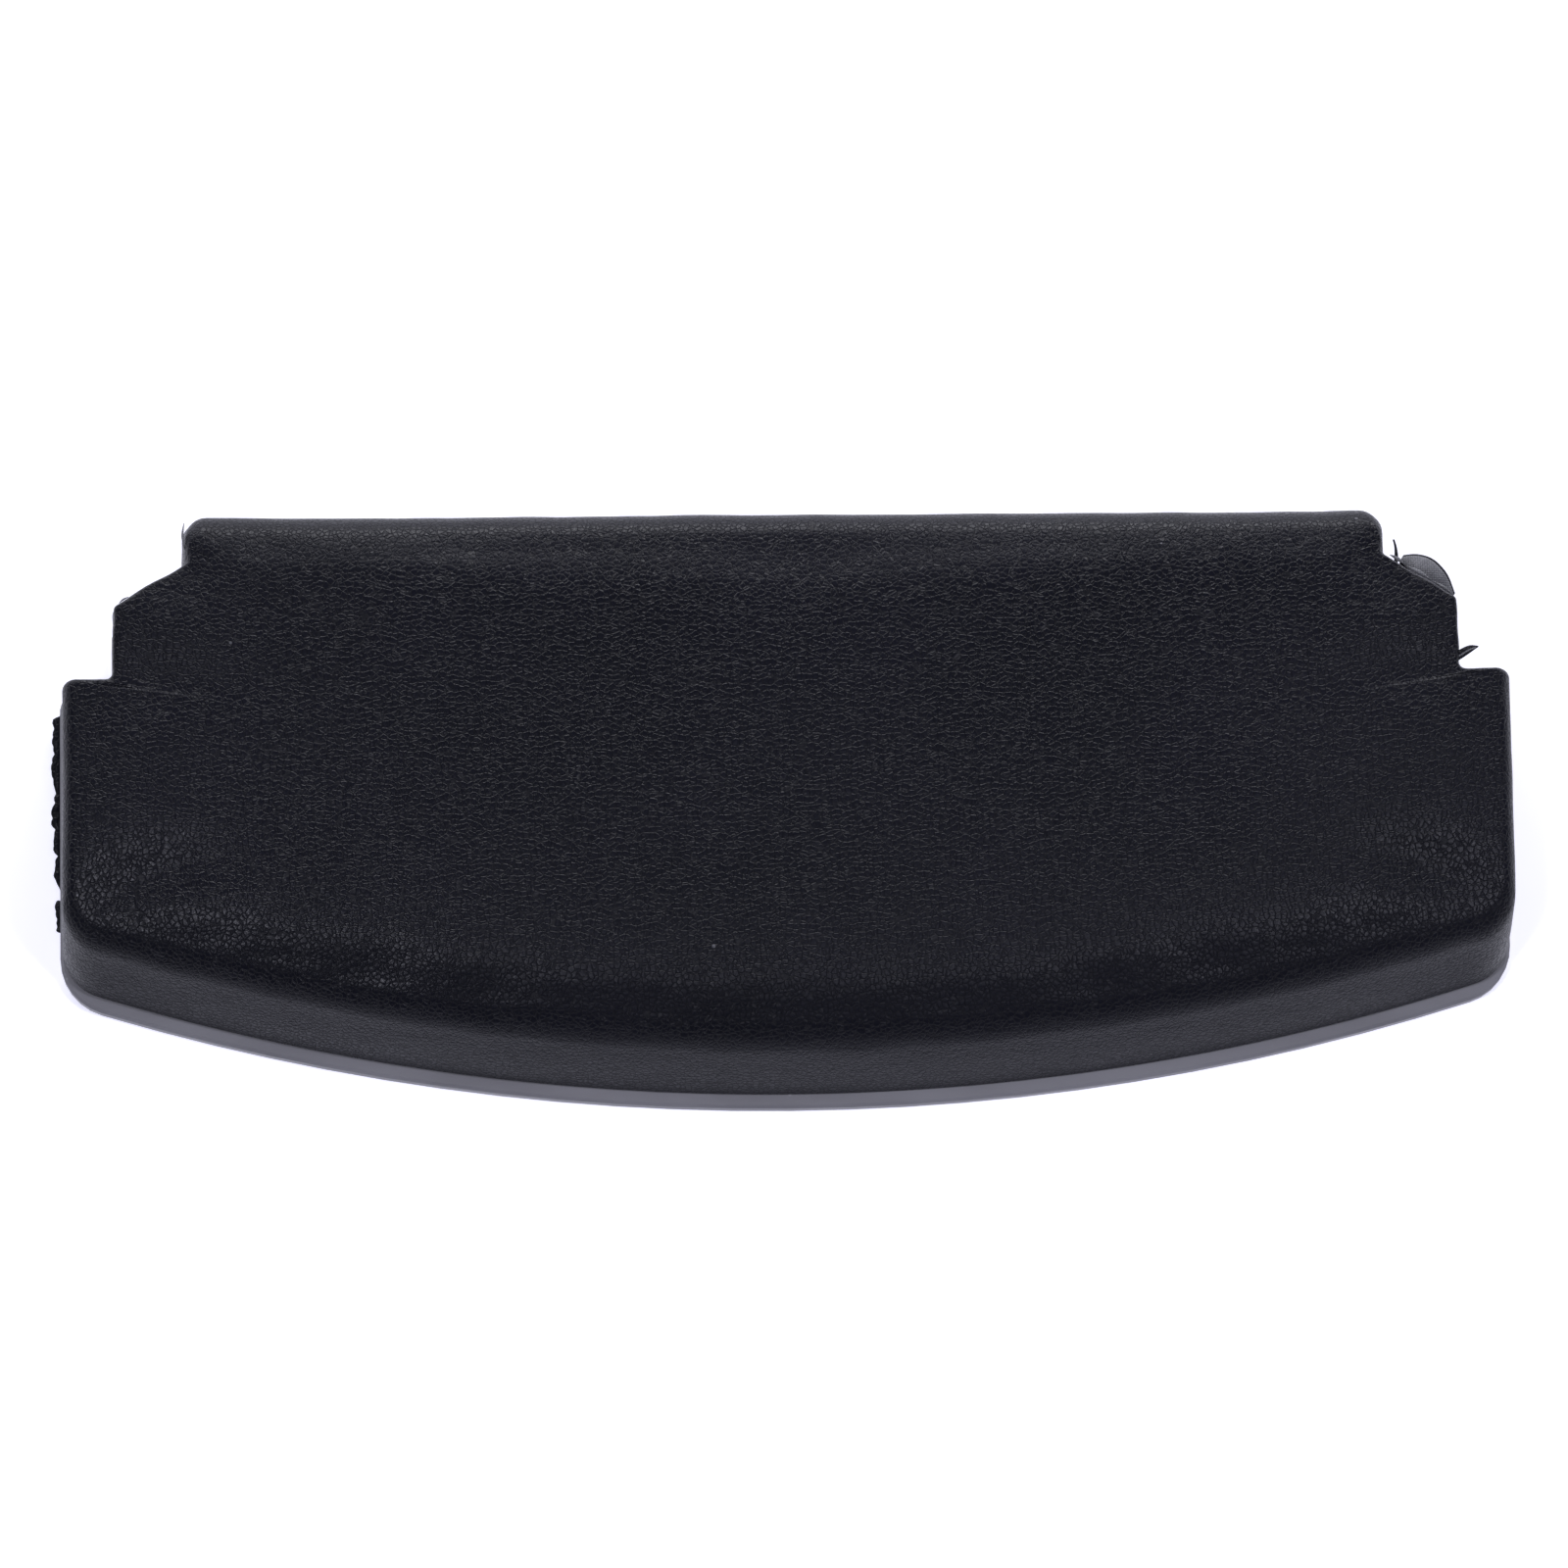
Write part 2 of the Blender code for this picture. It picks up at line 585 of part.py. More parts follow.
def make_screws():
    """Self-tapping screws, driven upwards from the underside, with a cross recess."""
    tip = SCREW_SINK + SCREW_LENGTH
    neck = SCREW_SINK + SCREW_HEAD_HEIGHT
    profile = [
        (0.0, tip),
        (SCREW_SHANK_RADIUS * 0.35, tip - SCREW_SHANK_RADIUS * 0.4),
        (SCREW_SHANK_RADIUS, tip - SCREW_SHANK_RADIUS * 1.6),
        (SCREW_SHANK_RADIUS, neck),
        (SCREW_HEAD_RADIUS, SCREW_SINK + SCREW_HEAD_RIM),
        (SCREW_HEAD_RADIUS, SCREW_SINK),
        (0.0, SCREW_SINK),
    ]
    master = turned("screw_master", profile, closed=False, steps=HOLE_STEPS)
    half_span = RECESS_SPAN / 2
    half_width = RECESS_WIDTH / 2
    for name, x, y in (("recess_x", half_span, half_width), ("recess_y", half_width, half_span)):
        combine(master, block(name, (-x, -y, -SCREW_SINK), (x, y, SCREW_SINK + RECESS_DEPTH)))
    mesh = solid_mesh(master, "base_screw")
    for number, place in enumerate(screw_places(), 1):
        screw = add_object(f"base_screw_{number}", mesh)
        screw.location = place
        finish(screw, (0.35, 0.35, 0.36), 0.35, 1.0)


def pilot_holes():
    """Pilot holes in the board for the screws' points."""
    hole = cylinder("pilot_hole", SCREW_SHANK_RADIUS + FIT_CLEARANCE, 0.0,
                    SCREW_SINK + SCREW_LENGTH + FIT_CLEARANCE, HOLE_STEPS)
    return copies(hole, [at(place) for place in screw_places()])


def countersinks():
    """Countersunk holes in the base plate, a clearance larger than the screws."""
    flank = FIT_CLEARANCE
    profile = [
        (0.0, BOARD_BOTTOM),
        (SCREW_SHANK_RADIUS + flank, BOARD_BOTTOM),
        (SCREW_SHANK_RADIUS + flank, SCREW_SINK + SCREW_HEAD_HEIGHT),
        (SCREW_HEAD_RADIUS + flank, SCREW_SINK + SCREW_HEAD_RIM + flank / 2),
        (SCREW_HEAD_RADIUS + flank, -SCREW_HEAD_HEIGHT),
        (0.0, -SCREW_HEAD_HEIGHT),
    ]
    hole = turned("countersink", profile, closed=False, steps=HOLE_STEPS)
    return copies(hole, [at(place) for place in screw_places()])


# ---- Base plate --------------------------------------------------------------------------------------

def plate_ring(height, inward):
    return ring(height, inward - FRONT_LIP, inward - SIDE_LIP, inward - REAR_LIP,
                inward - REAR_LIP, inward - REAR_LIP)


def rib_reach(y):
    """How far a rib along the pad can run from the middle before its end nears the hem."""
    straight = PAD_LENGTH / 2 - STEP_WIDTH - CHAMFER_RUN - RIB_INSET
    bow_radius = FRONT_RADIUS - RIB_INSET
    return min(straight, math.sqrt(bow_radius ** 2 - (BOW_CENTRE_Y - y) ** 2))


def make_ribs():
    """Stiffening ribs on the tray's floor: two along the pad and one across at each bolt column."""
    low = (PLATE_RECESS + PLATE_FLOOR) / 2
    half = RIB_THICKNESS / 2
    ribs = []
    for side in (-1, 1):
        y = side * BOLT_SPACING_Y / 2
        reach = rib_reach(y)
        ribs.append(block(f"rib_along_{side}", (-reach, y - half, low), (reach, y + half, RIB_HEIGHT)))
        x = side * BOLT_SPACING_X / 2
        front_end = FRONT_Y + bow_rise(x) + RIB_INSET
        ribs.append(block(f"rib_across_{side}", (x - half, front_end, low),
                          (x + half, REAR_Y - RIB_INSET, RIB_HEIGHT)))
    return ribs


def make_base_plate(screw_cutter):
    """Base plate: a shallow tray with a chamfered rim, ribs, and bosses up to the board.

    Its underside is recessed, apart from a foot along the edge and a pad round each hole.
    """
    edge = PLATE_CHAMFER
    rings = [
        plate_ring(PLATE_RECESS, PLATE_FOOT_WIDTH + PLATE_RECESS),
        plate_ring(0.0, PLATE_FOOT_WIDTH),
        plate_ring(0.0, edge),
        plate_ring(edge, 0.0),
        plate_ring(PLATE_RIM_HEIGHT - edge, 0.0),
        plate_ring(PLATE_RIM_HEIGHT, edge),
        plate_ring(PLATE_RIM_HEIGHT, PLATE_RIM_WIDTH),
        plate_ring(PLATE_FLOOR, PLATE_RIM_WIDTH),
    ]
    plate = loft("base_plate", rings)
    for rib in make_ribs():
        combine(plate, rib, "UNION")
    middle = (PLATE_RECESS + PLATE_FLOOR) / 2
    bolts = [at(place) for place in bolt_places()]
    screws = [at(place) for place in screw_places()]
    bolt_pad = cylinder("bolt_pad", BOLT_PAD_RADIUS, 0.0, middle, ROUND_STEPS)
    bolt_boss = cylinder("bolt_boss", BOLT_BOSS_RADIUS, middle, BOSS_HEIGHT, ROUND_STEPS)
    screw_pad = cylinder("screw_pad", SCREW_PAD_RADIUS, 0.0, middle)
    screw_boss = cylinder("screw_boss", SCREW_BOSS_RADIUS, middle, BOSS_HEIGHT)
    combine(plate, copies(bolt_pad, bolts), "UNION")
    combine(plate, copies(screw_pad, screws), "UNION")
    combine(plate, copies(bolt_boss, bolts), "UNION")
    combine(plate, copies(screw_boss, screws), "UNION")
    bolt_hole = cylinder("bolt_hole", BOLT_HOLE_RADIUS, -PLATE_FLOOR, BOARD_BOTTOM, ROUND_STEPS)
    combine(plate, copies(bolt_hole, bolts))
    combine(plate, screw_cutter)
    finish(plate, (0.11, 0.11, 0.13), 0.5)


# ---- Staples -----------------------------------------------------------------------------------------

def staple_curve():
    """U of staple wire: crown below the hem, two legs up into the board."""
    half = STAPLE_CROWN / 2 - STAPLE_WIRE_RADIUS
    low = HEM_BOTTOM - CONTACT_GAP - STAPLE_WIRE_RADIUS
    bend = STAPLE_BEND_RADIUS
    corner = []
    for step in range(3):
        angle = math.pi / 4 * step
        corner.append((half - bend + bend * math.sin(angle), low + bend - bend * math.cos(angle)))
    right = corner + [(half, STAPLE_TOP)]
    route = [(-x, z) for x, z in reversed(right)] + right
    curve = bpy.data.curves.new("staple", "CURVE")
    curve.dimensions = "3D"
    curve.bevel_depth = STAPLE_WIRE_RADIUS
    curve.bevel_resolution = 0
    curve.use_fill_caps = True
    spline = curve.splines.new("POLY")
    spline.points.add(len(route) - 1)
    for slot, (x, z) in zip(spline.points, route):
        slot.co = (x, 0.0, z, 1.0)
    return curve


def make_staples():
    curve = staple_curve()
    for number, (place, angle) in enumerate(staple_places(), 1):
        staple = add_object(f"staple_{number:02d}", curve)
        staple.location = place
        staple.rotation_euler.z = angle
        if number == 1:
            finish(staple, (0.55, 0.55, 0.57), 0.3, 1.0)


leg_cutter = staple_leg_cutter()
make_cover(leg_cutter)
make_foam(flange_pockets())
make_board(barrel_bores(), prong_slots(), pilot_holes(), leg_cutter)
make_tee_nuts()
make_screws()
make_base_plate(countersinks())
make_staples()
print("armrest pad:", len([obj for obj in PARTS.objects if obj.type != "EMPTY"]), "pieces")
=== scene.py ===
# %% [markdown]
# # A chair armrest pad
#
# The pad is a small piece of upholstery. A plywood board is wrapped in foam, a leather-grain cover
# is pulled over the foam and stapled under the board, and a moulded plate closes the underside.
# The functional model of every piece is already packed, so this lesson loads it as a fixed frame
# and builds the looks around it. All lengths are metres, +X runs along the pad, +Y to its straight
# rear edge and +Z up.

# %% Load the frame
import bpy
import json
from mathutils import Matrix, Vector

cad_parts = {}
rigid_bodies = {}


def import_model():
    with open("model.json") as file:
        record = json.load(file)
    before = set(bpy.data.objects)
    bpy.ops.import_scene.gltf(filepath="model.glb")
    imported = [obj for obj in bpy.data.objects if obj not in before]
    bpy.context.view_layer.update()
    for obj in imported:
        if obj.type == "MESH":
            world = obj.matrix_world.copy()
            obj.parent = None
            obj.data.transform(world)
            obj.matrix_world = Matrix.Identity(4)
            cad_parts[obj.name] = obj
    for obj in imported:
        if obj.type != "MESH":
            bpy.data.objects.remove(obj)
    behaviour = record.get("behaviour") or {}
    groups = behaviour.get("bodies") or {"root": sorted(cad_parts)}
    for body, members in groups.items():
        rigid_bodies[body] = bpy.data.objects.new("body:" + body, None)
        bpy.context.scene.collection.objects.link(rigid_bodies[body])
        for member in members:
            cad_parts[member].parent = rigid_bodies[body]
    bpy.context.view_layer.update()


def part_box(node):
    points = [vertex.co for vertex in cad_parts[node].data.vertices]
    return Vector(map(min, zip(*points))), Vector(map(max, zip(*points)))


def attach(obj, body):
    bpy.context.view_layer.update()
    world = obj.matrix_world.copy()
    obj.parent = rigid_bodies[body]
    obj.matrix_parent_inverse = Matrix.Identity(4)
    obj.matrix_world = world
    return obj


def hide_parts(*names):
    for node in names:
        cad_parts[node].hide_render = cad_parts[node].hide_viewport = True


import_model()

# %% Modules
import json
import math

import bmesh
import bpy
import numpy as np
from mathutils import Matrix, Vector, noise
from mathutils.kdtree import KDTree

MM = 0.001
BODY = "root"
scene = bpy.context.scene

# %% [markdown]
# ## The camera
#
# The pad is seen almost from above, from a little in front of it and a little to its left, through
# a long lens. A long lens keeps the two ends of the pad the same size. The camera's axes are worked
# out from two tilts and a small roll, because a tracking constraint can't hold a roll.

# %% Camera
TILT_FRONT = math.radians(12.0)
TILT_LEFT = math.radians(2.5)
CAMERA_ROLL = math.radians(-0.5)
CAMERA_DISTANCE = 1.6
CAMERA_LENS = 217.6
CAMERA_TARGET = Vector((-0.0005, 0.0040, 0.012))


def make_camera():
    towards = Vector((-math.tan(TILT_LEFT), -math.tan(TILT_FRONT), 1.0)).normalized()
    right = Vector((1, 0, 0)) - towards * towards.x
    right = Matrix.Rotation(CAMERA_ROLL, 3, towards) @ right.normalized()
    up = towards.cross(right)
    data = bpy.data.cameras.new("studio_camera")
    data.lens = CAMERA_LENS
    data.sensor_width = 36.0
    data.clip_start = 0.05
    camera = bpy.data.objects.new("studio_camera", data)
    axes = Matrix((right, up, towards)).transposed()
    place = CAMERA_TARGET + towards * CAMERA_DISTANCE
    camera.matrix_world = Matrix.Translation(place) @ axes.to_4x4()
    scene.collection.objects.link(camera)
    scene.camera = camera
    return camera


camera = make_camera()
print("camera at", [round(value, 3) for value in camera.matrix_world.translation])

# %% [markdown]
# ## Shader groups
#
# The finishes share a few effects: a pebbled grain, fine specks, slow blotches and a weave. Each
# is a node group that is built once and gets its own scale in every material. A group only puts
# out a mask or a height, and the shader stays in the material.

# %% Node helpers


def new_group(name, inputs, outputs):
    """Empty shader group with named float or vector inputs and float outputs."""
    group = bpy.data.node_groups.new(name, "ShaderNodeTree")
    for label, kind, value in inputs:
        socket = group.interface.new_socket(label, in_out="INPUT", socket_type=kind)
        if value is not None:
            socket.default_value = value
    for label in outputs:
        group.interface.new_socket(label, in_out="OUTPUT", socket_type="NodeSocketFloat")
    start = group.nodes.new("NodeGroupInput")
    end = group.nodes.new("NodeGroupOutput")
    return group, start, end


def feed(tree, node, inputs):
    """Fill sockets, by name or number, with values or with the outputs of other nodes."""
    for socket, value in inputs.items():
        if isinstance(value, bpy.types.NodeSocket):
            tree.links.new(value, node.inputs[socket])
        elif value is not None:
            node.inputs[socket].default_value = value
    return node


def add_node(tree, kind, inputs=None, **properties):
    """New node with its properties set and its sockets fed."""
    node = tree.nodes.new(kind)
    for name, value in properties.items():
        setattr(node, name, value)
    return feed(tree, node, inputs or {})


def math_node(tree, operation, *values):
    node = add_node(tree, "ShaderNodeMath", dict(enumerate(values)), operation=operation)
    return node.outputs[0]


def scale_vector(tree, vector, scale):
    return add_node(tree, "ShaderNodeVectorMath", {0: vector, "Scale": scale},
                    operation="SCALE").outputs[0]


def ramp(tree, value, low, high, out_low=0.0, out_high=1.0):
    """Smooth step of a value from one range to another."""
    return add_node(tree, "ShaderNodeMapRange", {
        "Value": value, "From Min": low, "From Max": high, "To Min": out_low, "To Max": out_high},
        interpolation_type="SMOOTHSTEP").outputs["Result"]


# %% Group: pebbled grain
VECTOR = "NodeSocketVector"
FLOAT = "NodeSocketFloat"


def grain_group():
    """Pebbles between creases, as on embossed leather: a height, and a mask of the creases."""
    group, start, end = new_group(
        "pebble_grain",
        [("Vector", VECTOR, None), ("Scale", FLOAT, 1000.0), ("Crease", FLOAT, 0.12)],
        ["Height", "Creases"])
    place = start.outputs["Vector"]
    scale = start.outputs["Scale"]
    half_scale = math_node(group, "MULTIPLY", scale, 0.45)
    drift = add_node(group, "ShaderNodeTexNoise", {
        "Vector": place, "Scale": half_scale, "Detail": 2.0})
    bent = add_node(group, "ShaderNodeVectorMath", {
        0: scale_vector(group, place, scale),
        1: scale_vector(group, drift.outputs["Color"], 0.9)}, operation="ADD").outputs[0]
    cells = add_node(group, "ShaderNodeTexVoronoi", {"Vector": bent, "Scale": 1.0},
                     feature="DISTANCE_TO_EDGE")
    domes = add_node(group, "ShaderNodeTexVoronoi", {
        "Vector": bent, "Scale": 1.0, "Smoothness": 0.6}, feature="SMOOTH_F1")
    ridge = ramp(group, cells.outputs["Distance"], 0.0, start.outputs["Crease"])
    dome = math_node(group, "MULTIPLY", domes.outputs["Distance"], -0.5)
    feed(group, end, {"Height": math_node(group, "ADD", ridge, dome),
                      "Creases": math_node(group, "SUBTRACT", 1.0, ridge)})
    return group


# %% Group: specks


def speck_group():
    """Few small round specks, such as dust: a mask."""
    group, start, end = new_group(
        "specks", [("Vector", VECTOR, None), ("Scale", FLOAT, 200.0), ("Size", FLOAT, 0.06),
                   ("Rarity", FLOAT, 0.9)], ["Mask"])
    cells = add_node(group, "ShaderNodeTexVoronoi", {
        "Vector": start.outputs["Vector"], "Scale": start.outputs["Scale"]})
    split = add_node(group, "ShaderNodeSeparateColor", {"Color": cells.outputs["Color"]})
    chosen = math_node(group, "GREATER_THAN", split.outputs["Red"], start.outputs["Rarity"])
    size = math_node(group, "MULTIPLY", start.outputs["Size"], split.outputs["Green"])
    inside = math_node(group, "LESS_THAN", cells.outputs["Distance"], size)
    feed(group, end, {"Mask": math_node(group, "MULTIPLY", chosen, inside)})
    return group


# %% Group: blotches


def blotch_group():
    """Slow change over a surface, about 0 to 1, such as handling marks and uneven sheen."""
    group, start, end = new_group(
        "blotches", [("Vector", VECTOR, None), ("Scale", FLOAT, 20.0), ("Detail", FLOAT, 3.0)],
        ["Value"])
    values = {name: start.outputs[name] for name in ("Vector", "Scale", "Detail")}
    cloud = add_node(group, "ShaderNodeTexNoise", {**values, "Roughness": 0.55})
    feed(group, end, {"Value": ramp(group, cloud.outputs["Fac"], 0.3, 0.7)})
    return group


# %% Group: plain weave


def weave_group():
    """Over-and-under threads along two directions: Height, and a Warp mask."""
    group, start, end = new_group(
        "plain_weave", [("Vector", VECTOR, None), ("Threads", FLOAT, 2500.0)], ["Height", "Warp"])
    split = add_node(group, "ShaderNodeSeparateXYZ", {0: start.outputs["Vector"]})
    waves = []
    for axis in ("X", "Y"):
        turns = math_node(group, "MULTIPLY", split.outputs[axis], start.outputs["Threads"])
        waves.append(math_node(group, "SINE", math_node(group, "MULTIPLY", turns, math.pi)))
    warp = ramp(group, math_node(group, "MULTIPLY", *waves), -0.2, 0.2)
    over = math_node(group, "MULTIPLY", math_node(group, "ABSOLUTE", waves[0]), warp)
    weft = math_node(group, "SUBTRACT", 1.0, warp)
    under = math_node(group, "MULTIPLY", math_node(group, "ABSOLUTE", waves[1]), weft)
    feed(group, end, {"Height": math_node(group, "ADD", over, under), "Warp": warp})
    return group


GRAIN = grain_group()
SPECKS = speck_group()
BLOTCHES = blotch_group()
WEAVE = weave_group()
print("shader groups:", [group.name for group in (GRAIN, SPECKS, BLOTCHES, WEAVE)])

# %% [markdown]
# ## Materials
#
# Each finish is one material. They all read the piece's own coordinates in metres, so a scale of
# 1000 gives a pattern of one millimetre. Colours that change over the surface go through mixes of
# the group masks, and a value that is the same all over is set on the shader itself.

# %% Material helpers


def new_material(name, roughness, inputs=None):
    material = bpy.data.materials.new(name)
    material.use_nodes = True
    tree = material.node_tree
    shader = tree.nodes["Principled BSDF"]
    feed(tree, shader, {"Roughness": roughness, **(inputs or {})})
    place = add_node(tree, "ShaderNodeTexCoord").outputs["Object"]
    return material, tree, shader, place


def use_group(tree, group, vector, **values):
    return add_node(tree, "ShaderNodeGroup", {"Vector": vector, **values},
                    node_tree=group).outputs


def mix_colours(tree, mask, first, second):
    """Colour that goes from the first to the second as the mask goes from 0 to 1."""
    pair = [(*colour, 1.0) if isinstance(colour, tuple) else colour for colour in (first, second)]
    return add_node(tree, "ShaderNodeMix", {"Factor": mask, 6: pair[0], 7: pair[1]},
                    data_type="RGBA").outputs[2]


def bump(tree, height, distance, strength, under=None):
    return add_node(tree, "ShaderNodeBump", {
        "Height": height, "Distance": distance, "Strength": strength,
        "Normal": under}).outputs["Normal"]


def stretched(tree, place, scale):
    """The piece's coordinates scaled by its own factor along each axis."""
    return add_node(tree, "ShaderNodeMapping", {"Vector": place, "Scale": scale}).outputs["Vector"]


# %% [markdown]
# ### Leather-grain cover
#
# The cover is a woven fabric with a near-black coating, embossed with a fine leather grain. The
# grain is far smaller than the mesh could hold, so it is a bump: pebbles of 0.8 mm with creases
# between them, on a much finer tooth. The coating is glossy enough to sparkle where the light
# grazes the rolled edges. A few pale specks are mixed into its colour, and they stand for both
# dust and painted glints.

# %% Cover material
COVER_DARK = (0.0033, 0.0036, 0.0064)
COVER_WORN = (0.0045, 0.0046, 0.0084)
COVER_CREASE = (0.004, 0.004, 0.005)
DUST_AND_GLINT_COLOUR = (0.09, 0.09, 0.10)
COVER_ROUGHNESS = (0.27, 0.34)


def cover_material():
    material, tree, shader, place = new_material(
        "cover_leather_grain", COVER_ROUGHNESS[1], {"Specular IOR Level": 0.13})
    grain = use_group(tree, GRAIN, place, Scale=1150.0, Crease=0.16)
    tooth = use_group(tree, GRAIN, place, Scale=4200.0, Crease=0.3)
    hide = use_group(tree, BLOTCHES, place, Scale=26.0, Detail=4.0)
    sheen = use_group(tree, BLOTCHES, place, Scale=9.0, Detail=2.0)
    dust = use_group(tree, SPECKS, place, Scale=300.0, Size=0.10, Rarity=0.965)
    colour = mix_colours(tree, hide["Value"], COVER_DARK, COVER_WORN)
    in_creases = math_node(tree, "MULTIPLY", grain["Creases"], 0.5)
    colour = mix_colours(tree, in_creases, colour, COVER_CREASE)
    # Pale specks in the base colour: partly dust, partly painted glints.
    faint_dust_and_glints = math_node(tree, "MULTIPLY", dust["Mask"], 0.8)
    colour = mix_colours(tree, faint_dust_and_glints, colour, DUST_AND_GLINT_COLOUR)
    rough = ramp(tree, sheen["Value"], 0.0, 1.0, *COVER_ROUGHNESS)
    fine = bump(tree, tooth["Height"], 0.014 * MM, 0.6)
    feed(tree, shader, {
        "Base Color": colour,
        "Roughness": math_node(tree, "MULTIPLY_ADD", grain["Creases"], 0.16, rough),
        "Normal": bump(tree, grain["Height"], 0.110 * MM, 0.8, fine)})
    return material


# %% Backing fabric material


def backing_material():
    """Grey woven backing, which shows only where the cover is cut and turned out."""
    material, tree, shader, place = new_material("backing_fabric", 0.92)
    weave = use_group(tree, WEAVE, place, Threads=2600.0)
    fuzz = use_group(tree, BLOTCHES, place, Scale=900.0, Detail=4.0)
    # Colour follows the weave's height: painted shade in the hollows between the threads.
    colour = mix_colours(tree, weave["Height"], (0.035, 0.036, 0.040), (0.15, 0.15, 0.16))
    colour = mix_colours(tree, math_node(tree, "MULTIPLY", fuzz["Value"], 0.4), colour,
                         (0.20, 0.20, 0.21))
    feed(tree, shader, {"Base Color": colour,
                        "Normal": bump(tree, weave["Height"], 0.08 * MM, 0.9)})
    return material


# %% [markdown]
# ### Foam, plywood and plastic
#
# These three are out of sight on the finished pad, or nearly so, but they show when it is taken
# apart. Foam is a field of open cells. Plywood is thin sheets whose grain turns by a right angle
# from one to the next, so its edge is striped. The plate has the fine spark texture of its mould.

# %% Foam material


def foam_material():
    material, tree, shader, place = new_material("cushion_foam", 0.97)
    cells = use_group(tree, GRAIN, place, Scale=1500.0, Crease=0.22)
    pores = use_group(tree, SPECKS, place, Scale=700.0, Size=0.42, Rarity=0.6)
    age = use_group(tree, BLOTCHES, place, Scale=18.0, Detail=5.0)
    colour = mix_colours(tree, age["Value"], (0.78, 0.71, 0.48), (0.84, 0.80, 0.62))
    # The pores are painted darker: painted shade inside the open cells.
    colour = mix_colours(tree, math_node(tree, "MULTIPLY", pores["Mask"], 0.55), colour,
                         (0.45, 0.38, 0.22))
    normal = bump(tree, cells["Height"], 0.25 * MM, 0.7)
    hollow = math_node(tree, "SUBTRACT", 1.0, pores["Mask"])
    feed(tree, shader, {"Base Color": colour,
                        "Normal": bump(tree, hollow, 0.2 * MM, 0.6, normal)})
    return material


# %% Plywood material
PLY_SHEET = 1.6 * MM


def plywood_material():
    material, tree, shader, place = new_material("plywood", 0.72)
    along = use_group(tree, BLOTCHES, stretched(tree, place, (0.04, 1.0, 1.0)), Scale=900.0,
                      Detail=5.0)
    across = use_group(tree, BLOTCHES, stretched(tree, place, (1.0, 0.04, 1.0)), Scale=900.0,
                       Detail=5.0)
    split = add_node(tree, "ShaderNodeSeparateXYZ", {0: place})
    sheets = math_node(tree, "MULTIPLY", split.outputs["Z"], 1.0 / PLY_SHEET)
    parity = math_node(tree, "PINGPONG", math_node(tree, "FLOOR", sheets), 1.0)
    light = mix_colours(tree, along["Value"], (0.50, 0.33, 0.17), (0.68, 0.50, 0.30))
    dark = mix_colours(tree, across["Value"], (0.32, 0.19, 0.09), (0.46, 0.30, 0.15))
    feed(tree, shader, {"Base Color": mix_colours(tree, parity, light, dark),
                        "Normal": bump(tree, along["Value"], 0.06 * MM, 0.6)})
    return material


# %% Plate material


def plate_material():
    material, tree, shader, place = new_material("plate_plastic", 0.5)
    spark = use_group(tree, GRAIN, place, Scale=3600.0, Crease=0.35)
    rub = use_group(tree, BLOTCHES, stretched(tree, place, (0.3, 1.0, 1.0)), Scale=120.0,
                    Detail=6.0)
    dust = use_group(tree, SPECKS, place, Scale=420.0, Size=0.12, Rarity=0.9)
    colour = mix_colours(tree, rub["Value"], (0.145, 0.143, 0.155), (0.188, 0.186, 0.200))
    colour = mix_colours(tree, math_node(tree, "MULTIPLY", dust["Mask"], 0.5), colour,
                         (0.30, 0.30, 0.31))
    feed(tree, shader, {"Base Color": colour,
                        "Roughness": ramp(tree, rub["Value"], 0.0, 1.0, 0.42, 0.56),
                        "Normal": bump(tree, spark["Height"], 0.015 * MM, 0.6)})
    return material


# %% [markdown]
# ### Steel
#
# The tee nuts are zinc plated, the screws have a dark passivated zinc, and the staples are bright
# galvanised wire. They differ in colour, in roughness and in how strongly the plating is mottled,
# so one function makes all three.

# %% Steel materials


def steel_material(name, dull, bright, roughness, spangle):
    material, tree, shader, place = new_material(name, roughness, {"Metallic": 1.0})
    plating = use_group(tree, BLOTCHES, place, Scale=spangle, Detail=4.0)
    scratch = use_group(tree, BLOTCHES, stretched(tree, place, (1.0, 1.0, 8.0)), Scale=700.0,
                        Detail=3.0)
    feed(tree, shader, {
        "Base Color": mix_colours(tree, plating["Value"], dull, bright),
        "Roughness": ramp(tree, scratch["Value"], 0.0, 1.0, roughness - 0.07, roughness + 0.12),
        "Normal": bump(tree, scratch["Value"], 0.01 * MM, 0.4)})
    return material


COVER = cover_material()
BACKING = backing_material()
FOAM = foam_material()
PLYWOOD = plywood_material()
PLATE = plate_material()
NUT_STEEL = steel_material("nut_zinc", (0.52, 0.50, 0.42), (0.72, 0.70, 0.62), 0.30, 260.0)
SCREW_STEEL = steel_material("screw_zinc", (0.05, 0.05, 0.055), (0.14, 0.14, 0.15), 0.34, 400.0)
WIRE_STEEL = steel_material("staple_wire", (0.50, 0.50, 0.52), (0.70, 0.70, 0.72), 0.28, 500.0)
print("materials:", [material.name for material in bpy.data.materials if material.users])

# %% [markdown]
# ## Finished pieces
#
# Every piece that is made here ends the same way: an object at the origin with its place in its
# mesh, a material and the body that it rides on.

# %% Piece helper


def mesh_from(name, build):
    """Mesh of a finished bmesh."""
    mesh = bpy.data.meshes.new(name)
    build.to_mesh(mesh)
    build.free()
    return mesh


def add_object(name, data):
    item = bpy.data.objects.new(name, data)
    scene.collection.objects.link(item)
    return item


def remove_objects(*items):
    for item in items:
        bpy.data.objects.remove(item, do_unlink=True)


def subtract(body, cutters):
    """Exact Boolean of each cutter, as modifiers."""
    for cutter in cutters:
        cut = body.modifiers.new("cut", "BOOLEAN")
        cut.operation = "DIFFERENCE"
        cut.solver = "EXACT"
        cut.object = cutter


def remesh_evenly(body, size):
    remesh = body.modifiers.new("even", "REMESH")
    remesh.mode = "VOXEL"
    remesh.voxel_size = size


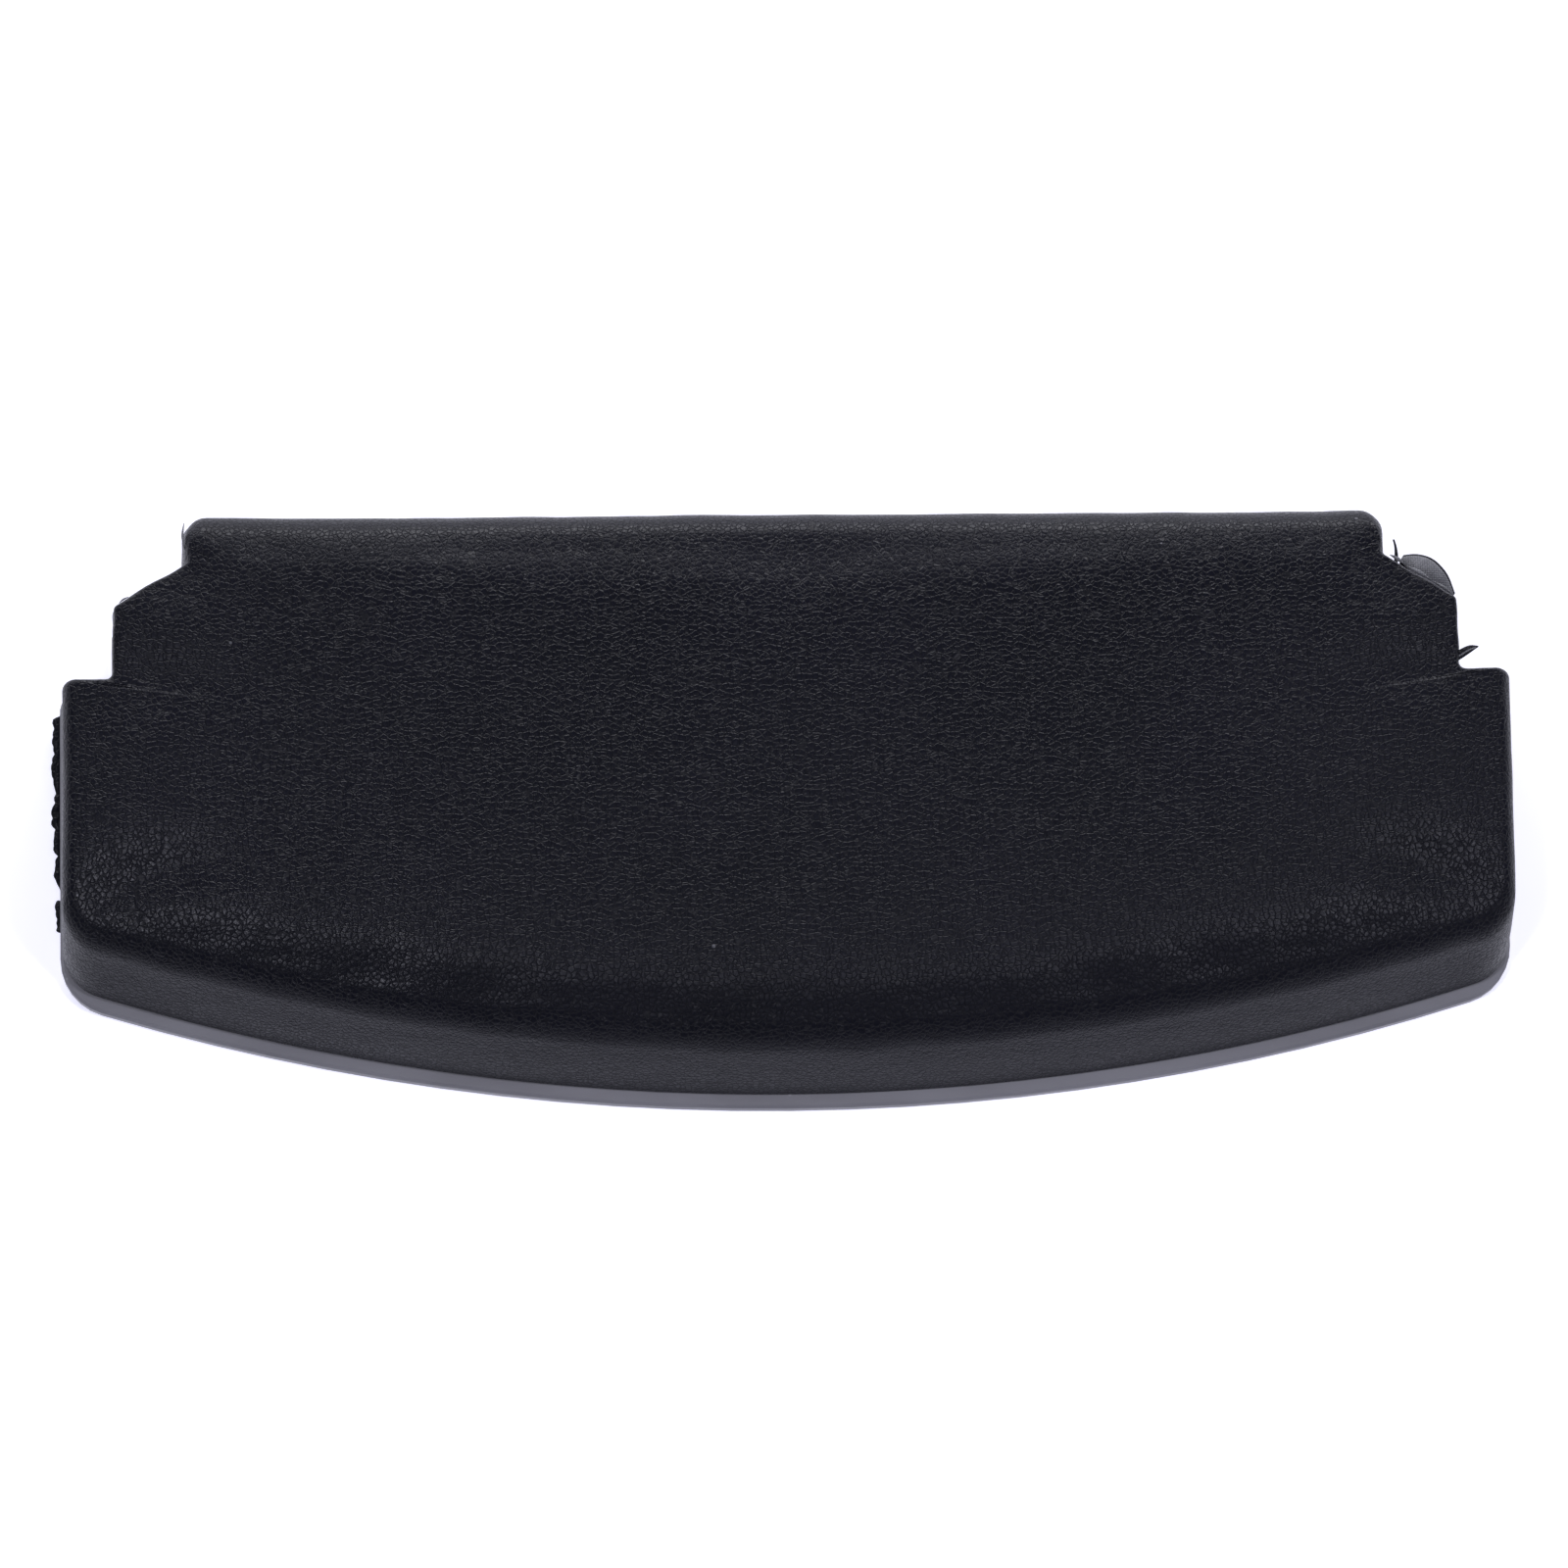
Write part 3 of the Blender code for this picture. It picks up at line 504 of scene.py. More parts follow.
def bridge(build, rings):
    """Walls between rings of points, and a cap on the first and the last."""
    count = len(rings[0])
    for lower, upper in zip(rings, rings[1:]):
        for index in range(count):
            following = (index + 1) % count
            build.faces.new((lower[index], lower[following], upper[following], upper[index]))
    build.faces.new(list(reversed(rings[0])))
    build.faces.new(rings[-1])


def finish_piece(name, mesh, material, replaces=()):
    mesh.materials.clear()
    mesh.materials.append(material)
    piece = add_object(name, mesh)
    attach(piece, BODY)
    if replaces:
        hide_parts(*replaces)
    print(name, "has", len(mesh.polygons), "faces")
    return piece


def assign(node, material):
    """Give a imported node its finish."""
    slots = bpy.data.objects[node].data.materials
    slots.clear()
    slots.append(material)


def shade_round(mesh, degrees=35.0):
    mesh.shade_smooth()
    mesh.set_sharp_from_angle(angle=math.radians(degrees))


# %% [markdown]
# ## The outline of the pad
#
# The front of the pad bows out on a large radius and the rear edge is straight. Both rear corners
# are notched: a short strip end, a slanted edge, a straight shoulder and a step out to the side.
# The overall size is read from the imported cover, and the notch sizes are the design's own. The
# outline can be drawn with every kind of edge moved inwards by its own amount, which is what the
# rolled edges, the foam and the hem all need.

# %% Sizes of the outline
cover_low, cover_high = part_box("cover")
plate_low, plate_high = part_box("base_plate")
SIDE_X = cover_high[0]
REAR_Y = cover_high[1]
FRONT_Y = cover_low[1]
BOW_RADIUS = 390 * MM
BOW_CENTRE = FRONT_Y + BOW_RADIUS
STEP_WIDTH = 8.5 * MM
SHOULDER_DEPTH = 12.2 * MM
CHAMFER_RUN = 12.0 * MM
CHAMFER_DROP = 7.5 * MM
STRIP_DEPTH = 9.2 * MM
SHOULDER_X = SIDE_X - STEP_WIDTH
STRIP_X = SHOULDER_X - CHAMFER_RUN
STEP_Y = REAR_Y - STRIP_DEPTH - CHAMFER_DROP - SHOULDER_DEPTH
CORNER_RADII = {"front": 8.5 * MM, "step": 2.0 * MM, "inner": 0.8 * MM, "shoulder": 1.6 * MM,
                "notch": 0.8 * MM, "strip": 5.0 * MM}
SMALLEST_RADIUS = 0.4 * MM
FRONT_LEDGE = 0.8 * MM
print("cover", [round((high - low) * 1000, 1) for low, high in zip(cover_low, cover_high)], "mm")

# %% Outline function


def straight_run(start, end, steps):
    return [start.lerp(end, step / steps) for step in range(1, steps)]


def corner_arc(before, corner, after, radius, steps):
    """Points of a round corner, limited by the two edges that it joins."""
    back = before - corner
    ahead = after - corner
    half_angle = back.angle(ahead) / 2
    tangent = min(radius / math.tan(half_angle), 0.45 * min(back.length, ahead.length))
    start = corner + back.normalized() * tangent
    towards_centre = (back.normalized() + ahead.normalized()).normalized()
    centre = corner + towards_centre * (tangent / math.cos(half_angle))
    sweep = math.pi - 2 * half_angle
    if back.cross(ahead) > 0:
        sweep = -sweep
    return [centre + Matrix.Rotation(sweep * step / steps, 2) @ (start - centre)
            for step in range(steps + 1)]


def outline(front, side, notch, strip_end, rear, fine=1.0):
    """Closed outline, anticlockwise from the front's middle, each kind of edge moved inwards."""
    front += FRONT_LEDGE
    slope = CHAMFER_DROP / CHAMFER_RUN
    chamfer_y = REAR_Y - STRIP_DEPTH - notch * math.hypot(1.0, slope)
    shoulder_x = SHOULDER_X - notch
    strip_x = STRIP_X - strip_end
    step = Vector((SIDE_X - side, STEP_Y - notch))
    inner = Vector((shoulder_x, STEP_Y - notch))
    shoulder = Vector((shoulder_x, chamfer_y - slope * (shoulder_x - STRIP_X)))
    hollow = Vector((strip_x, chamfer_y - slope * (strip_x - STRIP_X)))
    strip = Vector((strip_x, REAR_Y - rear))
    middle = Vector((0.0, REAR_Y - rear))

    radius = BOW_RADIUS - front
    round_front = max(CORNER_RADII["front"] - min(front, side), SMALLEST_RADIUS)
    corner_x = SIDE_X - side - round_front
    corner_y = BOW_CENTRE - math.sqrt((radius - round_front) ** 2 - corner_x ** 2)
    reach = math.atan2(corner_x, BOW_CENTRE - corner_y)

    def count(number):
        return max(2, round(number * fine))

    half = []
    steps = count(76)
    for index in range(1, steps):
        angle = reach * index / steps
        half.append(Vector((radius * math.sin(angle), BOW_CENTRE - radius * math.cos(angle))))
    steps = count(12)
    for index in range(steps + 1):
        angle = (reach - math.pi / 2) * (1 - index / steps)
        half.append(Vector((corner_x, corner_y))
                    + round_front * Vector((math.cos(angle), math.sin(angle))))
    corners = [
        (Vector((SIDE_X - side, corner_y)), step, inner, "step", 5, 24, notch),
        (step, inner, shoulder, "inner", 4, 6, -notch),
        (inner, shoulder, hollow, "shoulder", 5, 9, notch),
        (shoulder, hollow, strip, "notch", 4, 9, -notch),
        (hollow, strip, middle, "strip", 9, 4, min(strip_end, rear)),
    ]
    for before, corner, after, kind, arc_steps, run_steps, inset in corners:
        size = max(CORNER_RADII[kind] - inset, SMALLEST_RADIUS)
        arc = corner_arc(before, corner, after, size, count(arc_steps))
        half += straight_run(half[-1], arc[0], count(run_steps)) + arc
    half += straight_run(half[-1], middle, count(64))
    mirrored = [Vector((-point.x, point.y)) for point in reversed(half)]
    return [Vector((0.0, FRONT_Y + front))] + half + [middle] + mirrored


def even(inset):
    return (inset,) * 5


print("outline has", len(outline(*even(0.0))), "points")

# %% Rings and lofts


def ring(height, insets, fine=1.0):
    return np.array([(point.x, point.y, height) for point in outline(*insets, fine=fine)])


def loft(name, rings):
    """Closed surface through rings of equal length, with a cap on the first and the last."""
    count = len(rings[0])
    points = np.concatenate(rings)
    faces = []
    for row in range(len(rings) - 1):
        for index in range(count):
            following = (index + 1) % count
            faces.append((row * count + index, row * count + following,
                          (row + 1) * count + following, (row + 1) * count + index))
    last = (len(rings) - 1) * count
    faces.append(tuple(reversed(range(count))))
    faces.append(tuple(range(last, last + count)))
    mesh = bpy.data.meshes.new(name)
    mesh.from_pydata(points.tolist(), [], faces)
    mesh.update()
    return mesh


# %% [markdown]
# ## The soft shape of the cover
#
# The padded edge is a leaning wall that rolls over into the top. Each kind of edge has its own lean
# and roll: the front slopes back far, the sides and the rear are steep, and the notches are cut
# almost square. The section is a function of the height, so all kinds of edge share their rings.

# %% Section of the padded edge
HEM_BOTTOM = 3.5 * MM
COVER_THICKNESS = 1.2 * MM
HEM_TOP = HEM_BOTTOM + COVER_THICKNESS
HEM_WIDTH = 12.0 * MM
FOLD_RADIUS = 1.4 * MM
CROWN = 1.5 * MM
CROWN_POWER = 5
ROLL_TURN = math.radians(85)
TOP = cover_high[2] - CROWN
FOOT = HEM_BOTTOM + FOLD_RADIUS
#            lean of the wall, depth of the roll, height of the roll
EDGES = ((5.6 * MM, 4.0 * MM, 5.0 * MM),     # front
         (0.4 * MM, 2.6 * MM, 3.8 * MM),     # side
         (0.5 * MM, 0.7 * MM, 1.4 * MM),     # notch
         (0.5 * MM, 1.8 * MM, 3.0 * MM),     # end of the rear strip
         (0.8 * MM, 6.0 * MM, 6.5 * MM))     # rear
WALL_TOP = TOP - 9.0 * MM
DROOP = 2.4 * MM
DROOP_REACH = 30.0 * MM
FRONT_END_Y = BOW_CENTRE - math.sqrt(BOW_RADIUS ** 2 - SIDE_X ** 2)


def edge_insets(height, skin=0.0):
    """How far each kind of edge lies inwards at a height, for the surface a skin's depth inside."""
    insets = []
    for lean, depth, rise in EDGES:
        depth = max(depth - skin, 0.2 * MM)
        start = TOP - rise
        share = min(max((height - FOOT) / (TOP - FOOT), 0.0), 1.0)
        part = min(max((height - start) / max(rise - skin, 0.3 * MM), 0.0), 1.0)
        insets.append(skin + lean * share ** 1.15 + depth * (1 - math.sqrt(1 - part ** 2)))
    return insets


def drooped(points):
    """Points lowered towards the front corners, where the stuffing thins out."""
    away = np.hypot(SIDE_X - np.abs(points[:, 0]), points[:, 1] - FRONT_END_Y) / DROOP_REACH
    share = np.clip((points[:, 2] - FOOT) / (TOP - FOOT), 0.0, 1.0)
    result = points.copy()
    result[:, 2] -= DROOP * share * np.clip(1.0 - away, 0.0, 1.0) ** 2
    return result


def padded_rings(skin, bottom, wall_steps, roll_steps, crown_steps):
    """Rings of the padded edge and the crowned top, from the bottom up."""
    heights = [bottom + (WALL_TOP - bottom) * step / wall_steps for step in range(wall_steps)]
    for step in range(roll_steps + 1):
        turn = ROLL_TURN * step / roll_steps
        heights.append(WALL_TOP + (TOP - skin - WALL_TOP) * math.sin(turn))
    rings = [ring(height, edge_insets(height, skin)) for height in heights]
    rim = rings[-1]
    for step in range(1, crown_steps):
        scale = 1 - (step / crown_steps) ** 1.3
        shrunk = rim * (scale, scale, 1.0)
        shrunk[:, 2] += CROWN * (1 - scale ** CROWN_POWER)
        rings.append(shrunk)
    return [drooped(points) for points in rings]


# %% [markdown]
# ## Inflating the cover
#
# A stuffed cover never has the exact section of a drawing: it swells where nothing holds it and
# stays narrow at its hem and its corners. A cloth simulation finds that swelling. A closed copy of
# the pad is remeshed evenly, pinned at its foot and blown up a little, and only the movement is
# kept. The movement is then passed on to the fine mesh, to the cover's inside and to the foam, so
# the layers swell together and their crisp edges are not lost in the remesh.

# %% Simulated swelling
VOXEL = 3.4 * MM
PRESSURE = 4.0
SWELL_LIMIT = 1.3 * MM
SWELL_SHARES = (0.25, 0.25, 0.8)
LAST_FRAME = 20
PINNED_BELOW = 7.0 * MM


def evaluated_mesh(piece):
    bpy.context.view_layer.update()
    return bpy.data.meshes.new_from_object(
        piece.evaluated_get(bpy.context.evaluated_depsgraph_get()))


def coordinates(mesh):
    values = np.empty(len(mesh.vertices) * 3)
    mesh.vertices.foreach_get("co", values)
    return values.reshape(-1, 3)


def simulate_swelling():
    """Points of an even skin at rest and how far each one moves when the pad is blown up."""
    rings = padded_rings(0.5 * MM, FOOT, 6, 6, 10)
    body = add_object("swelling_body", loft("swelling_body", rings))
    remesh_evenly(body, VOXEL)
    skin = add_object("swelling_skin", evaluated_mesh(body))
    rest = coordinates(skin.data)
    group = skin.vertex_groups.new(name="held")
    held = [int(index) for index in np.nonzero(rest[:, 2] < PINNED_BELOW)[0]]
    group.add(held, 1.0, "REPLACE")
    cloth = skin.modifiers.new("cloth", "CLOTH")
    cloth.settings.vertex_group_mass = "held"
    cloth.settings.use_pressure = True
    cloth.settings.uniform_pressure_force = PRESSURE
    cloth.settings.effector_weights.gravity = 0.0
    cloth.settings.quality = 5
    for frame_number in range(1, LAST_FRAME + 1):
        scene.frame_set(frame_number)
    moved = coordinates(evaluated_mesh(skin)) - rest
    scene.frame_set(1)
    remove_objects(body, skin)
    return rest, moved


skin_rest, skin_moved = simulate_swelling()
reach = np.linalg.norm(skin_moved, axis=1)
print("skin of", len(skin_rest), "points moved up to", round(reach.max() * 1000, 2), "mm")

# %% Passing the swelling on
NEIGHBOURS = 8
SWELL_DEPTH = 6.0 * MM

skin_moved *= np.minimum(1.0, SWELL_LIMIT / np.maximum(reach, 1e-9))[:, None]
skin_moved *= SWELL_SHARES
skin_tree = KDTree(len(skin_rest))
for number, point in enumerate(skin_rest):
    skin_tree.insert(point, number)
skin_tree.balance()


def swollen(points):
    """Points moved with the skin, less the deeper inside they lie."""
    result = points.copy()
    for index, point in enumerate(points):
        found = skin_tree.find_n(point, NEIGHBOURS)
        nearest = found[0][2]
        depth = max(0.0, 1.0 - max(0.0, nearest - VOXEL) / SWELL_DEPTH)
        weights = np.array([1.0 / (hit[2] ** 2 + (0.6 * VOXEL) ** 2) for hit in found])
        moves = skin_moved[[hit[1] for hit in found]]
        result[index] += depth * (weights[:, None] * moves).sum(axis=0) / weights.sum()
    return result


# %% [markdown]
# ## Small pulls and waves in the cover
#
# Round a cut corner the cover is pulled tight, and fine folds fan out from it. The steep edges of
# the notches are also a little wavy, because the foam behind them was cut by hand. Both are moves
# of a few tenths of a millimetre, made by formulas so that they land where the outline's corners
# are.

# %% Pulls and waves
FOLD_HEIGHT = 0.12 * MM
FOLD_REACH = 13.0 * MM
FOLD_COUNT = 11
WAVE_HEIGHT = 0.30 * MM
INNER_CORNERS = ((SHOULDER_X, STEP_Y), (STRIP_X, REAR_Y - STRIP_DEPTH))


def smooth_share(value):
    value = np.clip(value, 0.0, 1.0)
    return value * value * (3 - 2 * value)


def slow_noise(points, scale, seed):
    """Noise between about -1 and 1 at each point."""
    shift = Vector((seed * 3.7, seed * 1.3, seed * 2.1))
    return np.array([noise.noise(Vector(point) * scale + shift) for point in points]) * 1.6


def pulled(points):
    """Fan folds round the notches' inner corners, on the top and the upper walls."""
    lift = np.zeros(len(points))
    for side in (-1, 1):
        for number, (x, y) in enumerate(INNER_CORNERS):
            dx = points[:, 0] * side - x
            dy = points[:, 1] - y
            distance = np.hypot(dx, dy)
            angle = np.arctan2(dy, dx)
            fan = np.cos(FOLD_COUNT * angle + 1.7 * number + side + 60.0 * distance)
            fade = smooth_share(distance / (2.5 * MM)) * smooth_share(1 - distance / FOLD_REACH)
            lift += FOLD_HEIGHT * fan * fade
    result = points.copy()
    result[:, 2] += lift * smooth_share((points[:, 2] - TOP + 4 * MM) / (3 * MM))
    return result


def waved(points):
    """Uneven walls in the notches, and slightly uneven walls all round."""
    outer_x = np.abs(points[:, 0])
    near = smooth_share((outer_x - STRIP_X + 5 * MM) / (5 * MM))
    near *= smooth_share((points[:, 1] - STEP_Y + 1.5 * MM) / (2 * MM))
    walls = slow_noise(points, 190.0, 1)
    body = slow_noise(points, 24.0, 2)
    along = slow_noise(points * (1.0, 1.0, 0.2), 130.0, 3)
    rise = smooth_share((points[:, 2] - FOOT) / (6 * MM))
    edge = smooth_share((TOP + 0.3 * MM - points[:, 2]) / (3 * MM))
    push = rise * (WAVE_HEIGHT * near * walls + 0.12 * MM * body + 0.10 * MM * along * edge)
    outward = np.column_stack((points[:, 0] / SIDE_X, points[:, 1] / REAR_Y))
    outward /= np.maximum(np.linalg.norm(outward, axis=1), 0.4)[:, None]
    result = points.copy()
    result[:, :2] += outward * push[:, None] * smooth_share(
        (np.abs(outward).max(axis=1) - 0.3) / 0.4)[:, None]
    flat = smooth_share((points[:, 2] - TOP + 1.0 * MM) / (1.0 * MM))
    result[:, 2] += flat * 0.10 * MM * slow_noise(points, 34.0, 4)
    return result


# %% [markdown]
# ## The cover
#
# The cover is one closed wall of 1.2 mm: it starts inside the top, comes down the inner wall, turns
# back as the hem, folds round the bottom edge and goes up the outside to the top again. A loft
# through rings of one outline gives that in a single pass, with no seam, and it leaves room for
# every board edge to be rolled in its own way.

# %% Cover


def make_cover():
    inner = list(reversed(padded_rings(COVER_THICKNESS, HEM_TOP, 7, 8, 10)))
    hem_steps = (HEM_WIDTH, 0.5 * HEM_WIDTH, FOLD_RADIUS)
    hem = [ring(HEM_TOP, even(0.5 * HEM_WIDTH)), ring(HEM_TOP, even(HEM_WIDTH))]
    hem += [ring(HEM_BOTTOM, even(inset)) for inset in hem_steps]
    for turn in (math.radians(30), math.radians(60)):
        hem.append(ring(HEM_BOTTOM + FOLD_RADIUS * (1 - math.cos(turn)),
                        even(FOLD_RADIUS * (1 - math.sin(turn)))))
    outer = padded_rings(0.0, FOOT, 13, 18, 26)
    mesh = loft("cover", inner + hem + outer)
    points = waved(pulled(swollen(coordinates(mesh))))
    mesh.vertices.foreach_set("co", points.ravel())
    mesh.update()
    shade_round(mesh)
    piece = finish_piece("upholstery_cover", mesh, COVER, ["cover"])
    return piece


make_cover()

# %% [markdown]
# ## The foam
#
# The foam is a moulded block with a pocket for the board and hollows for the nuts. It is lofted a
# skin's depth inside the cover, hollowed with Booleans and remeshed evenly. Then every point sinks
# by its own small amount, which gives the open, uneven skin of cut foam. It swells with the cover.

# %% Foam
FOAM_VOXEL = 1.35 * MM
FLANGE_ROOM = 9.8 * MM
BOLT_ROOM = 4.0 * MM
CONTACT_GAP = 0.3 * MM
PORE_DEPTH = 0.30 * MM


def node_centre(node):
    low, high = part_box(node)
    return ((low[0] + high[0]) / 2, (low[1] + high[1]) / 2)


nut_nodes = [f"tee_nut_{number}" for number in range(1, 5)]
screw_nodes = [f"base_screw_{number}" for number in range(1, 7)]
staple_nodes = [f"staple_{number:02d}" for number in range(1, 19)]


def upright_drum(name, radius, low, high, places):
    """Upright cylinders that hollow the foam over the nuts."""
    build = bmesh.new()
    for x, y in places:
        bmesh.ops.create_cone(
            build, cap_ends=True, segments=32, radius1=radius, radius2=radius,
            depth=high - low, matrix=Matrix.Translation((x, y, (low + high) / 2)))
    return add_object(name, mesh_from(name, build))


def make_foam():
    board_low, board_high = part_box("support_board")
    roof = board_high[2] + CONTACT_GAP
    pocket = SIDE_X - board_high[0] - CONTACT_GAP
    skin = COVER_THICKNESS + CONTACT_GAP
    room = (pocket - FRONT_LEDGE,) + even(pocket)[1:]
    rings = [ring(roof, room), ring(board_low[2], room)]
    rings += padded_rings(skin, board_low[2], 8, 8, 10)
    block = add_object("foam_block", loft("foam_block", rings))
    nut_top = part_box(nut_nodes[0])[1][2] + CONTACT_GAP
    nut_spots = [node_centre(node) for node in nut_nodes]
    drums = [upright_drum("flange_room", FLANGE_ROOM, board_low[2], nut_top, nut_spots),
             upright_drum("bolt_room", BOLT_ROOM, board_low[2], nut_top + 3.0 * MM, nut_spots)]
    subtract(block, drums)
    remesh_evenly(block, FOAM_VOXEL)
    mesh = evaluated_mesh(block)
    remove_objects(*drums, block)
    mesh.name = "foam"
    points = coordinates(mesh)
    normals = np.empty(len(mesh.vertices) * 3)
    mesh.vertex_normals.foreach_get("vector", normals)
    pores = np.abs(slow_noise(points, 900.0, 5)) * 0.6 + np.abs(slow_noise(points, 380.0, 6)) * 0.4
    depth = PORE_DEPTH * np.clip(pores, 0.0, 1.0)
    points = swollen(points - normals.reshape(-1, 3) * depth[:, None])
    mesh.vertices.foreach_set("co", points.ravel())
    mesh.update()
    mesh.shade_smooth()
    piece = finish_piece("foam_cushion", mesh, FOAM, ["foam_core"])
    return piece


make_foam()

# %% [markdown]
# ## The board and the plate
#
# The plywood board and the moulded plate are right as they were packed, so they stay and only get
# their finishes.

# %% Board and plate
assign("support_board", PLYWOOD)
assign("base_plate", PLATE)

# %% [markdown]
# ## Repeated hardware
#
# Screws, nuts and staples repeat. One master of each is made, the places where they go are stored
# as points with a turn, and a Geometry Nodes tree puts a copy on every point. The tree realises the
# copies and sets their material, so its result is one plain mesh for each kind.

# %% Places of the hardware


def places_mesh(name, places):
    """Loose points with a turn about Z on each."""
    mesh = bpy.data.meshes.new(name)
    mesh.from_pydata([place for place, turn in places], [], [])
    turns = mesh.attributes.new("turn", "FLOAT", "POINT")
    turns.data.foreach_set("value", [turn for place, turn in places])
    return mesh


print("places:", len(nut_nodes), "nuts,", len(screw_nodes), "screws,", len(staple_nodes), "staples")

# %% Copies on points


def tree_with_inputs(name, inputs):
    tree = bpy.data.node_groups.new(name, "GeometryNodeTree")
    tree.interface.new_socket("Geometry", in_out="INPUT", socket_type="NodeSocketGeometry")
    sockets = {}
    for label, kind in inputs:
        socket = tree.interface.new_socket(label, in_out="INPUT", socket_type=kind)
        sockets[label] = socket.identifier
    tree.interface.new_socket("Geometry", in_out="OUTPUT", socket_type="NodeSocketGeometry")
    return tree, tree.nodes.new("NodeGroupInput"), tree.nodes.new("NodeGroupOutput"), sockets


def link_copies(tree, start, end, shape):
    """Put the shape on every point, turned by the point's attribute and a small random share."""
    turn = add_node(tree, "GeometryNodeInputNamedAttribute", data_type="FLOAT")
    turn.inputs["Name"].default_value = "turn"
    chance = add_node(tree, "FunctionNodeRandomValue", {"Seed": start.outputs["Seed"]},
                      data_type="FLOAT")
    spread = math_node(tree, "MULTIPLY_ADD", chance.outputs[1], 2.0, -1.0)
    spread = math_node(tree, "MULTIPLY", spread, start.outputs["Unevenness"])
    total = math_node(tree, "ADD", turn.outputs[0], spread)
    angles = add_node(tree, "ShaderNodeCombineXYZ", {"Z": total})
    rotation = add_node(tree, "FunctionNodeEulerToRotation", {0: angles.outputs[0]})
    copies = add_node(tree, "GeometryNodeInstanceOnPoints", {
        "Points": start.outputs["Geometry"], "Instance": shape, "Rotation": rotation.outputs[0]})
    realise = add_node(tree, "GeometryNodeRealizeInstances", {0: copies.outputs[0]})
    smooth = add_node(tree, "GeometryNodeSetShadeSmooth", {0: realise.outputs[0]})
    paint = add_node(tree, "GeometryNodeSetMaterial", {
        "Geometry": smooth.outputs[0], "Material": start.outputs["Material"]})
    feed(tree, end, {0: paint.outputs[0]})


def run_tree(name, mesh, tree, sockets, values):
    """Plain mesh that the tree makes from the points."""
    holder = add_object(name, mesh)
    modifier = holder.modifiers.new(name, "NODES")
    modifier.node_group = tree
    for label, value in values.items():
        modifier[sockets[label]] = value
    result = evaluated_mesh(holder)
    remove_objects(holder)
    result.name = name
    return result


COMMON_INPUTS = [("Seed", "NodeSocketInt"), ("Unevenness", "NodeSocketFloat"),
                 ("Material", "NodeSocketMaterial")]


def copies_tree():
    """Tree that copies a master object."""
    tree, start, end, sockets = tree_with_inputs(
        "copies_of_a_master", [("Master", "NodeSocketObject")] + COMMON_INPUTS)
    master = add_node(tree, "GeometryNodeObjectInfo", {"Object": start.outputs["Master"]})
    link_copies(tree, start, end, master.outputs["Geometry"])
    return tree, sockets


COPIES, COPIES_SOCKETS = copies_tree()


def copies_of(name, mesh, places, material, nodes, unevenness):
    master = add_object(name + "_master", mesh)
    result = run_tree(name, places_mesh(name, places), COPIES, COPIES_SOCKETS, {
        "Master": master, "Seed": 7, "Unevenness": unevenness, "Material": material})
    remove_objects(master)
    result.set_sharp_from_angle(angle=math.radians(30))
    return finish_piece(name, result, material, nodes)


# %% [markdown]
# ### Threads
#
# A thread is a surface of revolution whose radius also depends on the turn: going once round raises
# the profile by one pitch. So a threaded wall is a grid of height and angle, and no helix has to be
# swept or joined.

# %% Threaded wall


def thread_share(height, angle, pitch):
    """Rounded V of a thread, from 0 in the groove to 1 on the crest."""
    turn = (height / pitch - angle / math.tau) % 1.0
    return (1 - abs(2 * turn - 1)) ** 0.8


def lathe(name, rows, steps, closed):
    """Mesh round Z through rows of radius, height, thread depth, pitch."""
    build = bmesh.new()
    grid = []
    for radius, height, depth, pitch in rows:
        line = []
        if radius == 0.0:
            line = [build.verts.new((0, 0, height))] * steps
        else:
            for step in range(steps):
                angle = math.tau * step / steps
                size = radius
                if depth:
                    size += depth * (thread_share(height, angle, pitch) - 0.5)
                line.append(build.verts.new(
                    (size * math.cos(angle), size * math.sin(angle), height)))
        grid.append(line)
    if closed:
        grid.append(grid[0])
    for upper, lower in zip(grid, grid[1:]):
        for step in range(steps):
            following = (step + 1) % steps
            corners = [upper[step], lower[step], lower[following], upper[following]]
            unique = list(dict.fromkeys(corners))
            if len(unique) > 2:
                build.faces.new(unique)
    bmesh.ops.recalc_face_normals(build, faces=build.faces)
    return mesh_from(name, build)


# %% [markdown]
# ### Tee nuts
#
# A tee nut is a pressed steel flange with a threaded barrel and four prongs that bite into the
# board. The thread can be seen through the plate's bolt holes. The barrel and flange are turned,
# and the prongs are small bent blades.

# %% Tee nuts
NUT_THREAD = 3.0 * MM
NUT_PITCH = 1.0 * MM
NUT_BARREL = 4.0 * MM
FLANGE_THICKNESS = 1.2 * MM
PRONG_REACH = 5.0 * MM


def prong_blade(build, angle, circle, low, high):
    """Tapered blade that hangs from the flange."""
    rows = ((high, 1.15, 0.50), (high - 0.8 * MM, 1.10, 0.50), (low + 1.2 * MM, 0.90, 0.45),
            (low, 0.12, 0.20))
    turn = Matrix.Rotation(angle, 4, "Z")
    rings = []
    for height, half_width, half_depth in rows:
        corners = ((-half_depth, -half_width), (half_depth, -half_width),
                   (half_depth, half_width), (-half_depth, half_width))
        rings.append([build.verts.new(turn @ Vector((circle + x * MM, y * MM, height)))
                      for x, y in corners])
    bridge(build, rings)


